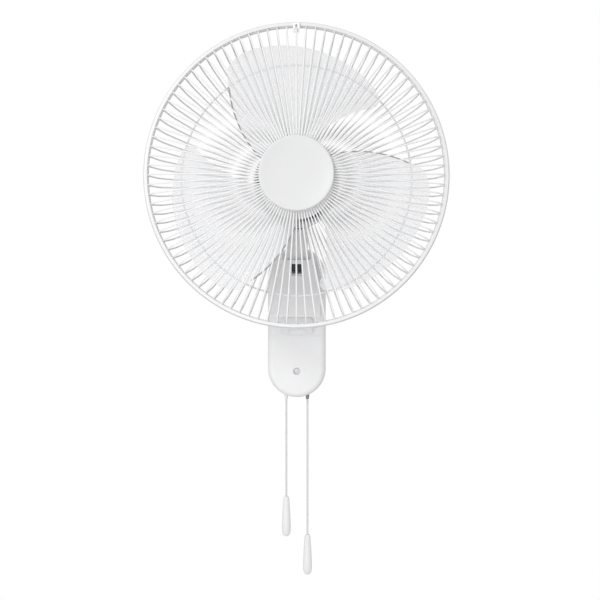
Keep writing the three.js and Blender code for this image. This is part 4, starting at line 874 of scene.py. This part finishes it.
def makeHingeParts():
    place = (0, *tiltAxis.yz)
    bolt = turnPiece("hingeBolt", hinge["bolt"], "X", place, hinge["steps"])
    cut(bolt, addRod("socket", *hinge["socket"], "X", place, steps=6))
    soften(bolt, 0.0002, 2)
    settle(bolt, "zincPlate", "base", "tilt_bolt")
    nut = addRod("hingeNut", *hinge["nut"], "X", place, steps=6)
    cut(nut, addRod("bore", hinge["hole"], *hinge["nutBore"], "X", place, steps=32))
    soften(nut, 0.0004, 2)
    settle(nut, "zincPlate", "base", "tilt_nut")
    rim, near, far = hinge["washer"]
    for sign, word in ((-1, "left"), (1, "right")):
        profile = [(hinge["hole"], sign * near), (rim, sign * near), (rim, sign * far),
                   (hinge["hole"], sign * far)]
        washer = turnPiece("hingeWasher_" + word, profile, "X", place, hinge["steps"])
        soften(washer, 0.0002, 2)
        settle(washer, "darkSteel", "base", "hinge_washer_" + word)


makeArm()
makeFootCap()
makeHingeParts()
print("arm and hinge ready")


# Neck with the swing gear inside, and its rear cover

neck = {"half": 0.0176, "front": -0.144, "back": -0.103, "foot": 0.08, "shoulder": 0.1028,
        "top": 0.149, "knuckle": (0.0143, 197, 343), "corner": 0.005,
        "room": (0.0151, 0.110, 0.137), "roomWalls": (0.0025, 0.005),
        "bore": (0.0103, 0.13, 0.155), "wide": 0.03, "darkHalf": 0.0165,
        "cover": [(-0.0148, 0.0148), (-0.1053, -0.1032), (0.1103, 0.1367)]}
yoke = {"half": 0.019, "y": (-0.1597, -0.102), "z": (0.1506, 0.1676), "corner": 0.005,
        "bore": (0.0073, 0.149, 0.1629)}


def addPost(name, half, y, z, corner, steps=8):
    outline = (arcPoints((half - corner, y[1] - corner), corner, 0, 90, steps)
               + arcPoints((corner - half, y[1] - corner), corner, 90, 180, steps)
               + arcPoints((corner - half, y[0] + corner), corner, 180, 270, steps)
               + arcPoints((half - corner, y[0] + corner), corner, 270, 360, steps))
    return addSlab(name, outline, "Z", *z)


def makeNeck():
    half, front, back, shoulder = (neck[key] for key in ("half", "front", "back", "shoulder"))
    side = [(front, neck["top"]), (front, shoulder), *arcPoints(tiltAxis.yz, *neck["knuckle"], 24),
            (back, shoulder), (back, neck["top"])]
    post = addSlab("neckPost", side, "X", -half, half)
    keep = addPost("keep", half, (front, back), (neck["foot"], neck["top"]), neck["corner"])
    combine(post, keep, "INTERSECT")
    soften(post, 0.0012, 3, 50)
    roomHalf, floor, roof = neck["room"]
    frontWall, backOpen = neck["roomWalls"]
    depth = (front + frontWall, back + backOpen)
    cut(post, addBlock("room", (-roomHalf, roomHalf), depth, (floor, roof)))
    cut(post, addRod("bore", *neck["bore"], "Z", (0, tiltAxis.y, 0)))
    wide = neck["wide"]
    cut(post, addRod("boltHole", hinge["hole"], -wide, wide, "X", (0, *tiltAxis.yz)))
    soften(post, 0.0005, 2, 50)
    giveFinishes(post, "whitePlastic", "darkPlasticAndShade")
    for face in post.data.polygons:  # the knuckle between the ears is dark: partly painted shade of the arm's window, partly a darker part
        dark = face.center.z < shoulder - past and abs(face.center.x) < neck["darkHalf"]
        face.material_index = int(dark)
    settle(post, "whitePlastic", "neck", "neck")
    cover = addBlock("neckRearCover", *neck["cover"])
    soften(cover, 0.0005, 3)
    settle(cover, "whitePlastic", "neck", "neck_cover")


def makeYoke():
    carrier = addPost("headYoke", yoke["half"], yoke["y"], yoke["z"], yoke["corner"])
    cut(carrier, addRod("bore", *yoke["bore"], "Z", (0, tiltAxis.y, 0)))
    soften(carrier, 0.0012, 3)
    settle(carrier, "castMetal", "head", "swing_yoke")


makeNeck()
makeYoke()
print("neck and yoke ready")


# Motor: front plate with its collar, and the vented rear housing

motor = {"radius": 0.066, "back": -0.078, "front": -0.1597, "edge": 0.012, "wall": 0.0025,
         "slots": 10, "slot": (0.022, 0.038, 0.0016), "slotDeep": 0.004,
         "screwHole": (0.0023, -0.085, -0.07),
         "notch": [(-0.0195, 0.0195), (-0.161, -0.1015), (0.14, 0.1681)],
         "plate": [(0.0115, -0.184), (0.016, -0.184), (0.016, -0.167), (0.0645, -0.167),
                   (0.066, -0.1655), (0.066, -0.16), (0.0115, -0.16)]}


def makeFrontPlate():
    plate = turnPiece("motorPlate", motor["plate"])
    soften(plate, 0.0006, 2)
    settle(plate, "castMetal", "head", "motor_front_plate")


def turnAboutFan(piece, angle):
    editPiece(piece, "VERT")
    bpy.ops.transform.rotate(value=angle, orient_axis="Y", center_override=fanAxis)
    leaveEdit()


def makeHousing():
    radius, back, edge, wall = (motor[key] for key in ("radius", "back", "edge", "wall"))
    middle = (radius - edge, back - edge)
    housing = turnPiece("motorShell", [
        (0, back - wall), *arcPoints(middle, edge - wall, 90, 0, 10),
        (radius - wall, motor["front"]), (radius, motor["front"]),
        *arcPoints(middle, edge, 0, 90, 10), (0, back)], steps=128)
    low, high, half = motor["slot"]
    slot = addBlock("slot", (low, high), (back - motor["slotDeep"], back + past),
                    (fanAxis.z - half, fanAxis.z + half))
    turnAboutFan(slot, math.pi / motor["slots"])
    copyAround(slot, motor["slots"])
    cut(housing, slot)
    cut(housing, addBlock("notch", *motor["notch"]))
    for sign in (-1, 1):
        centre = (sign * screws["housing"]["x"], 0, fanAxis.z)
        cut(housing, addRod("hole", *motor["screwHole"], "Y", centre, steps=32))
    soften(housing, 0.0005, 2)
    settle(housing, "whitePlastic", "head", "motor_housing")


makeFrontPlate()
makeHousing()
print("motor ready")


# Guards: wires copied round the fan axis, rings, plates and the band that clamps them

guard = {"wires": 96, "wireRadius": 0.0011, "sides": 8, "bend": 0.006, "ringRadius": 0.21975,
         "ringWire": 0.00235, "frontRingY": -0.25765, "rearRingY": -0.25235,
         "front": [(0.21935, -0.2576), (0.2164, -0.2635), (0.2079, -0.271), (0.13, -0.276),
                   (0.052, -0.279)],
         "rear": [(0.21935, -0.2524), (0.2069, -0.2205), (0.176, -0.1965), (0.119, -0.1822),
                  (0.062, -0.169)],
         "frontDisc": [(0, -0.2774), (0.0538, -0.2774), (0.055, -0.2784), (0.055, -0.2796),
                       (0.0538, -0.2806), (0, -0.2806)],
         "rearDisc": [(0.0166, -0.1707), (0.0575, -0.1707), (0.0618, -0.1707), (0.0648, -0.1707),
                      (0.066, -0.1697), (0.066, -0.1683), (0.0648, -0.1673), (0.0166, -0.1673)],
         "tieRadius": 0.1766, "tieWire": 0.0014, "tieY": -0.1945}


def addTorus(name, radius, thickness, y, steps=192, sides=12):
    deselectAll()
    bpy.ops.mesh.primitive_torus_add(
        major_radius=radius, minor_radius=thickness, major_segments=steps, minor_segments=sides,
        location=(0, y, fanAxis.z), rotation=(math.pi / 2, 0, 0))
    return namePiece(name)


def addWires(name, stations):
    corners = [Vector((radius, y, fanAxis.z)) for radius, y in stations]
    path = roundCorners(corners, guard["bend"], 3)
    wires = sweepRod(name, path, guard["wireRadius"], guard["sides"], Vector((0, 0, 1)))
    copyAround(wires, guard["wires"])
    return wires


clampBand = {"lip": 0.2184, "outer": 0.225, "seat": 0.2198, "front": -0.263, "back": -0.247,
             "wall": 0.0026, "bend": 0.0022,
             "chamfer": [  # inwards from the outer face and back from the front
                 (0.0026, 0), (0.0021, 0.0003), (0.0017, 0.0009), (0.0003, 0.004), (0, 0.0052)],
             "lipEdge": (0.0006, 0.0005)}
bandClip = {"block": [(-0.005, 0.005), (-0.2667, -0.2633), (0.4284, 0.442)],
            "channel": [(-0.0013, 0.0013), (-0.268, -0.262), (0.425, 0.4394)],
            "hole": (0.0011, -0.268, -0.2643), "holePlace": (0.0028, 0.4316)}
guardNut = {"grip": (0.0024, -0.182, -0.1725), "gripReach": 0.03, "grips": 12, "profile": [
    (0.0166, -0.18), (0.026, -0.18), (0.0272, -0.1772), (0.03, -0.1738), (0.03, -0.171),
    (0.0166, -0.171)]}
centreCap = {"front": -0.2889, "back": -0.2809, "rim": 0.0518, "radius": 0.0546, "wall": 0.0018,
             "dish": 0.004, "steps": 12, "edge": [  # inwards from the side and back from the front
                 (0.0012, 0.0001), (0.0003, 0.0009), (0, 0.0022)]}


def makeFrontGuard():
    plate = turnPiece("frontDisc", guard["frontDisc"])
    soften(plate, 0.0004, 2)
    ring = addTorus("frontRing", guard["ringRadius"], guard["ringWire"], guard["frontRingY"])
    cage = joinPieces(addWires("frontCage", guard["front"]), ring, plate)
    settle(cage, "whiteWire", "head", "front_guard", smooth=50)


def makeRearGuard():
    hub = turnPiece("rearDisc", guard["rearDisc"])
    soften(hub, 0.0004, 2)
    giveFinishes(hub, "whiteWire", "darkPlasticAndShade", "ringPaintedShade")
    shadowLineInner, shadowLineOuter = (radius for radius, y in guard["rearDisc"][1:3])
    for face in hub.data.polygons:  # painted shade: a dark shadow line, then a grey shaded ring out to the rim; the disc is flat there
        reach = math.hypot(face.center.x, face.center.z - fanAxis.z)
        face.material_index = int(reach > shadowLineInner) + int(reach > shadowLineOuter)
    ring = addTorus("rearRing", guard["ringRadius"], guard["ringWire"], guard["rearRingY"])
    cage = joinPieces(addWires("rearCage", guard["rear"]), ring, hub)
    settle(cage, "whiteWire", "head", "rear_guard", smooth=50)
    tie = addTorus("tieRing", guard["tieRadius"], guard["tieWire"], guard["tieY"])
    settle(tie, "whiteWire", "head", "rear_guard_ring", smooth=50)


def makeBand():
    lip, outer, seat, front, back, wall, bend = (
        clampBand[key] for key in ("lip", "outer", "seat", "front", "back", "wall", "bend"))
    lipIn, lipBack = clampBand["lipEdge"]
    band = turnPiece("clampBand", [
        (lip, front + lipBack), (lip + lipIn, front),
        *[(outer - inwards, front + behind) for inwards, behind in clampBand["chamfer"]],
        *arcPoints((outer - bend, back - bend), bend, 0, 75, 5),
        (outer - wall, back), (seat, back), (seat, back - wall), (outer - wall, back - wall),
        (outer - wall, front + wall), (lip, front + wall)], steps=256)
    settle(band, "bandWireShaded", "head", "guard_band")
    clip = addBlock("bandClip", *bandClip["block"])
    cut(clip, addBlock("channel", *bandClip["channel"]))
    x, z = bandClip["holePlace"]
    for sign in (-1, 1):
        cut(clip, addRod("hole", *bandClip["hole"], "Y", (sign * x, 0, z), steps=24))
    soften(clip, 0.0003, 2)
    settle(clip, "whitePlastic", "head", "guard_clip")


def cutGrips(nut, size, reach, count, steps):
    grips = addRod("grips", *size, "Y", (reach, 0, fanAxis.z), steps)
    copyAround(grips, count)
    cut(nut, grips)


def makeGuardNut():
    nut = turnPiece("clampNut", guardNut["profile"])
    cutGrips(nut, guardNut["grip"], guardNut["gripReach"], guardNut["grips"], steps=24)
    soften(nut, 0.0004, 2)
    settle(nut, "whitePlastic", "head", "guard_nut")


def makeCap():
    # The face is a shallow dish
    front, back, rim, radius, wall, dish, steps = (
        centreCap[key] for key in ("front", "back", "rim", "radius", "wall", "dish", "steps"))
    face = [(rim * k / steps, front + dish * (1 - (k / steps) ** 3)) for k in range(steps + 1)]
    cap = turnPiece("centreCap", [
        *face, *[(radius - inwards, front + behind) for inwards, behind in centreCap["edge"]],
        (radius, back), (radius - wall, back), (radius - wall, front + dish + wall),
        (0, front + dish + wall)], steps=160)
    soften(cap, 0.0006, 4, 30)
    settle(cap, "capPlasticShaded", "head", "front_cap", smooth=40)


makeFrontGuard()
makeRearGuard()
makeBand()
makeGuardNut()
makeCap()
print("guards ready")


# Blades: three swept sheets on a hub, with painted shade along the trailing cut edge

blades = {"count": 3, "ring": -0.255, "radius": 0.201, "thickness": 0.0024, "front": 0.007,
          "sweep": 0.033, "sweepStart": 0.062, "edgeSweep": 33,
          "trailing": 153.2, "leading": 66,  # the angles of both edges where the sweep starts
          "trailingPower": 0.85,
          "tipTaper": 0.026, "tipPower": 1.6, "tipCorner": 0.013, "cornerPower": 24,
          "rootDrop": 0.007, "rootFlat": 1.2, "bulge": 0.12, "across": 32, "along": 20,
          "crowding": 0.8, "edgeShare": 0.0085, "edgeShadeEnd": 0.86}
bladeHub = {"radius": 0.046, "front": -0.247, "back": -0.203, "wall": 0.003, "corner": 0.006,
            "step": 0.004, "bore": 0.0043, "boss": 0.012, "bossOut": 0.004, "inset": 0.0015,
            "reach": 0.01}
bladeNut = {"grip": (0.0016, -0.264, -0.2495), "gripReach": 0.0158, "grips": 10, "profile": [
    (0, -0.262), (0.009, -0.262), (0.013, -0.26), (0.016, -0.2503), (0.016, -0.2473),
    (0.0043, -0.2473), (0.0043, -0.2583), (0, -0.2583)]}


def bladePoint(t, s):
    # t runs from the trailing to the leading edge, and s from the hub to the tip
    corner = (1 - t) ** blades["cornerPower"] + t ** blades["cornerPower"]
    tip = (blades["radius"] - blades["tipTaper"] * t ** blades["tipPower"]
           - blades["tipCorner"] * corner)
    root = bladeHub["radius"] - bladeHub["wall"] / 2
    r = root + s * (tip - root)
    outward = (r - blades["sweepStart"]) / (blades["radius"] - blades["sweepStart"])
    bent = max(0, outward) ** blades["trailingPower"]
    trailing = blades["trailing"] - blades["edgeSweep"] * bent
    leading = blades["leading"] - blades["edgeSweep"] * outward
    angle = math.radians(trailing + (leading - trailing) * t)
    drop = blades["rootDrop"] * (1 - s) ** 2
    curve = t + blades["bulge"] * math.sin(math.pi * t)
    behind = blades["front"] + drop + (blades["sweep"] - blades["rootFlat"] * drop) * curve
    return Vector((r * math.cos(angle), blades["ring"] + behind, fanAxis.z + r * math.sin(angle)))


def makeBladeSheet():
    deselectAll()
    across = blades["across"]
    bpy.ops.mesh.primitive_grid_add(x_subdivisions=across, y_subdivisions=blades["along"], size=1)
    sheet = namePiece("bladeSheet")
    giveFinishes(sheet, "bladePlastic", "bladeEdgeShade")
    # Painted shade: faces of the first strip, out to a share of the blade, take the dark edge
    # finish
    for face in sheet.data.polygons:
        first = face.center.x + 0.5 < 1 / across
        face.material_index = int(first and face.center.y + 0.5 < blades["edgeShadeEnd"])
    for vertex in sheet.data.vertices:
        t, s = vertex.co.x + 0.5, vertex.co.y + 0.5
        wave = math.sin(2 * math.pi * t) / (2 * math.pi)
        crowded = t - blades["crowding"] * wave  # closer near both edges
        if round(t * across) == 1:
            crowded = blades["edgeShare"]  # the first strip is painted dark as shade along the cut edge
        vertex.co = bladePoint(crowded, s)
    modify(sheet, "SOLIDIFY", thickness=blades["thickness"], offset=0)
    soften(sheet, 0.0005, 2, 60)
    return sheet


def makeFan():
    radius, front, back, wall = (bladeHub[key] for key in ("radius", "front", "back", "wall"))
    corner, bore, boss = bladeHub["corner"], bladeHub["bore"], bladeHub["boss"]
    flat, behind = radius - corner, back - bladeHub["bossOut"]
    hub = turnPiece("bladeHub", [
        (bore, front), (flat, front),
        *arcPoints((flat, front + corner), corner, 270, 360, 6)[1:],
        (radius, back), (radius - wall, back), (radius - wall, front + wall + bladeHub["step"]),
        (flat - wall, front + wall), (boss, front + wall), (boss, behind), (bore, behind)])
    giveFinishes(hub, "bladePlastic", "bladeEdgeShade")
    sheets = makeBladeSheet()
    core = addRod("core", radius - bladeHub["inset"], front - bladeHub["reach"],
                  back + bladeHub["reach"], "Y", (0, 0, fanAxis.z), steps=96)
    cut(sheets, core)
    copyAround(sheets, blades["count"])
    combine(hub, sheets, "UNION")
    settle(hub, "bladePlastic", "rotor", "fan_blade", smooth=40)


def makeBladeNut():
    nut = turnPiece("bladeSpinner", bladeNut["profile"], steps=64)
    cutGrips(nut, bladeNut["grip"], bladeNut["gripReach"], bladeNut["grips"], steps=20)
    soften(nut, 0.0003, 2)
    settle(nut, "darkPlasticAndShade", "rotor", "blade_nut")


makeFan()
makeBladeNut()
print("blades ready")


# CAD pieces that stay take the finish of their slot

for part in frame["record"]["subparts"]:
    node = nodes[part["node"]]
    node.data.materials.clear()
    if part["material_slot"] == "white_cord":
        node.data.materials.append(braidedCord)
    else:
        giveFinishes(node, finishOfSlot[part["material_slot"]])
print("carried pieces dressed")


# Floor, lights and the white room

studio = {"floorZ": -0.62, "floorRadius": 0.85, "floorDepth": 0.02, "floorCentre": (0, -0.5),
          "floorPale": (0.82, 0.82, 0.83), "floorDeep": (0.79, 0.79, 0.8), "floorRough": 0.8,
          "key": {"place": (-1.1, -2.2, 0.9), "size": 0.6, "power": 15.5},
          "fill": {"place": (-0.45, -2.5, -0.75), "size": 0.7, "power": 11.5},
          "aim": (0, -0.15, 0.1), "sky": 0.79, "ground": 0.12, "skyFrom": -0.85, "skyTo": 0.1,
          "behind": 0.8, "behindTo": 0.6}


def makeFloor():
    deselectAll()
    bpy.ops.mesh.primitive_cylinder_add(
        vertices=128, radius=studio["floorRadius"], depth=studio["floorDepth"],
        location=(*studio["floorCentre"], studio["floorZ"] - studio["floorDepth"] / 2))
    floor = namePiece("studioFloor")
    soften(floor, 0.004, 3)
    paper = bpy.data.materials.new("palePaper")
    paper.use_nodes = True
    tree = paper.node_tree
    shader = tree.nodes["Principled BSDF"]
    grain = placeGroup(tree, surfaceGrain, Fine_Scale=300, Fine_Depth=0.0001, Blotch_Scale=3)
    colour = mixColour(tree, grain.outputs["Blotch"], studio["floorPale"], studio["floorDeep"])
    tree.links.new(colour, shader.inputs["Base Color"])
    tree.links.new(grain.outputs["Normal"], shader.inputs["Normal"])
    setInputs(shader, Roughness=studio["floorRough"])
    floor.data.materials.append(paper)


def addSoftbox(name, light):
    deselectAll()
    aim = Vector(studio["aim"]) - Vector(light["place"])
    bpy.ops.object.light_add(type="AREA", location=light["place"],
                             rotation=aim.to_track_quat("-Z", "Y").to_euler())
    lamp = bpy.context.object
    lamp.name = name
    lamp.data.shape = "DISK"
    lamp.data.size = light["size"]
    lamp.data.energy = light["power"]


def makeRoom():
    # White to the camera, and a soft sky that darkens towards the ground for the light it gives
    room = bpy.data.worlds.new("whiteRoom")
    bpy.context.scene.world = room
    room.use_nodes = True
    tree = room.node_tree
    add, link = tree.nodes.new, tree.links.new
    place, parts = add("ShaderNodeTexCoord"), add("ShaderNodeSeparateXYZ")
    level, depth = add("ShaderNodeMapRange"), add("ShaderNodeMapRange")
    glow, seen = tree.nodes["Background"], add("ShaderNodeBackground")
    path, pick = add("ShaderNodeLightPath"), add("ShaderNodeMixShader")
    link(place.outputs["Generated"], parts.inputs["Vector"])
    link(parts.outputs["Z"], level.inputs["Value"])
    level.interpolation_type = "SMOOTHSTEP"
    setInputs(level, From_Min=studio["skyFrom"], From_Max=studio["skyTo"],
              To_Min=studio["ground"], To_Max=studio["sky"])
    link(parts.outputs["Y"], depth.inputs["Value"])
    setInputs(depth, From_Max=studio["behindTo"], To_Min=1, To_Max=studio["behind"])
    strength = multiply(tree, level.outputs["Result"], depth.outputs["Result"])
    link(strength, glow.inputs["Strength"])
    for background in (glow, seen):
        setInputs(background, Color=(1, 1, 1, 1))
    link(path.outputs["Is Camera Ray"], pick.inputs["Fac"])
    link(glow.outputs["Background"], pick.inputs[1])
    link(seen.outputs["Background"], pick.inputs[2])
    link(pick.outputs["Shader"], tree.nodes["World Output"].inputs["Surface"])


makeFloor()
addSoftbox("keyLight", studio["key"])
addSoftbox("fillLight", studio["fill"])
makeRoom()
bpy.context.scene.view_settings.view_transform = "Standard"
print("studio ready")
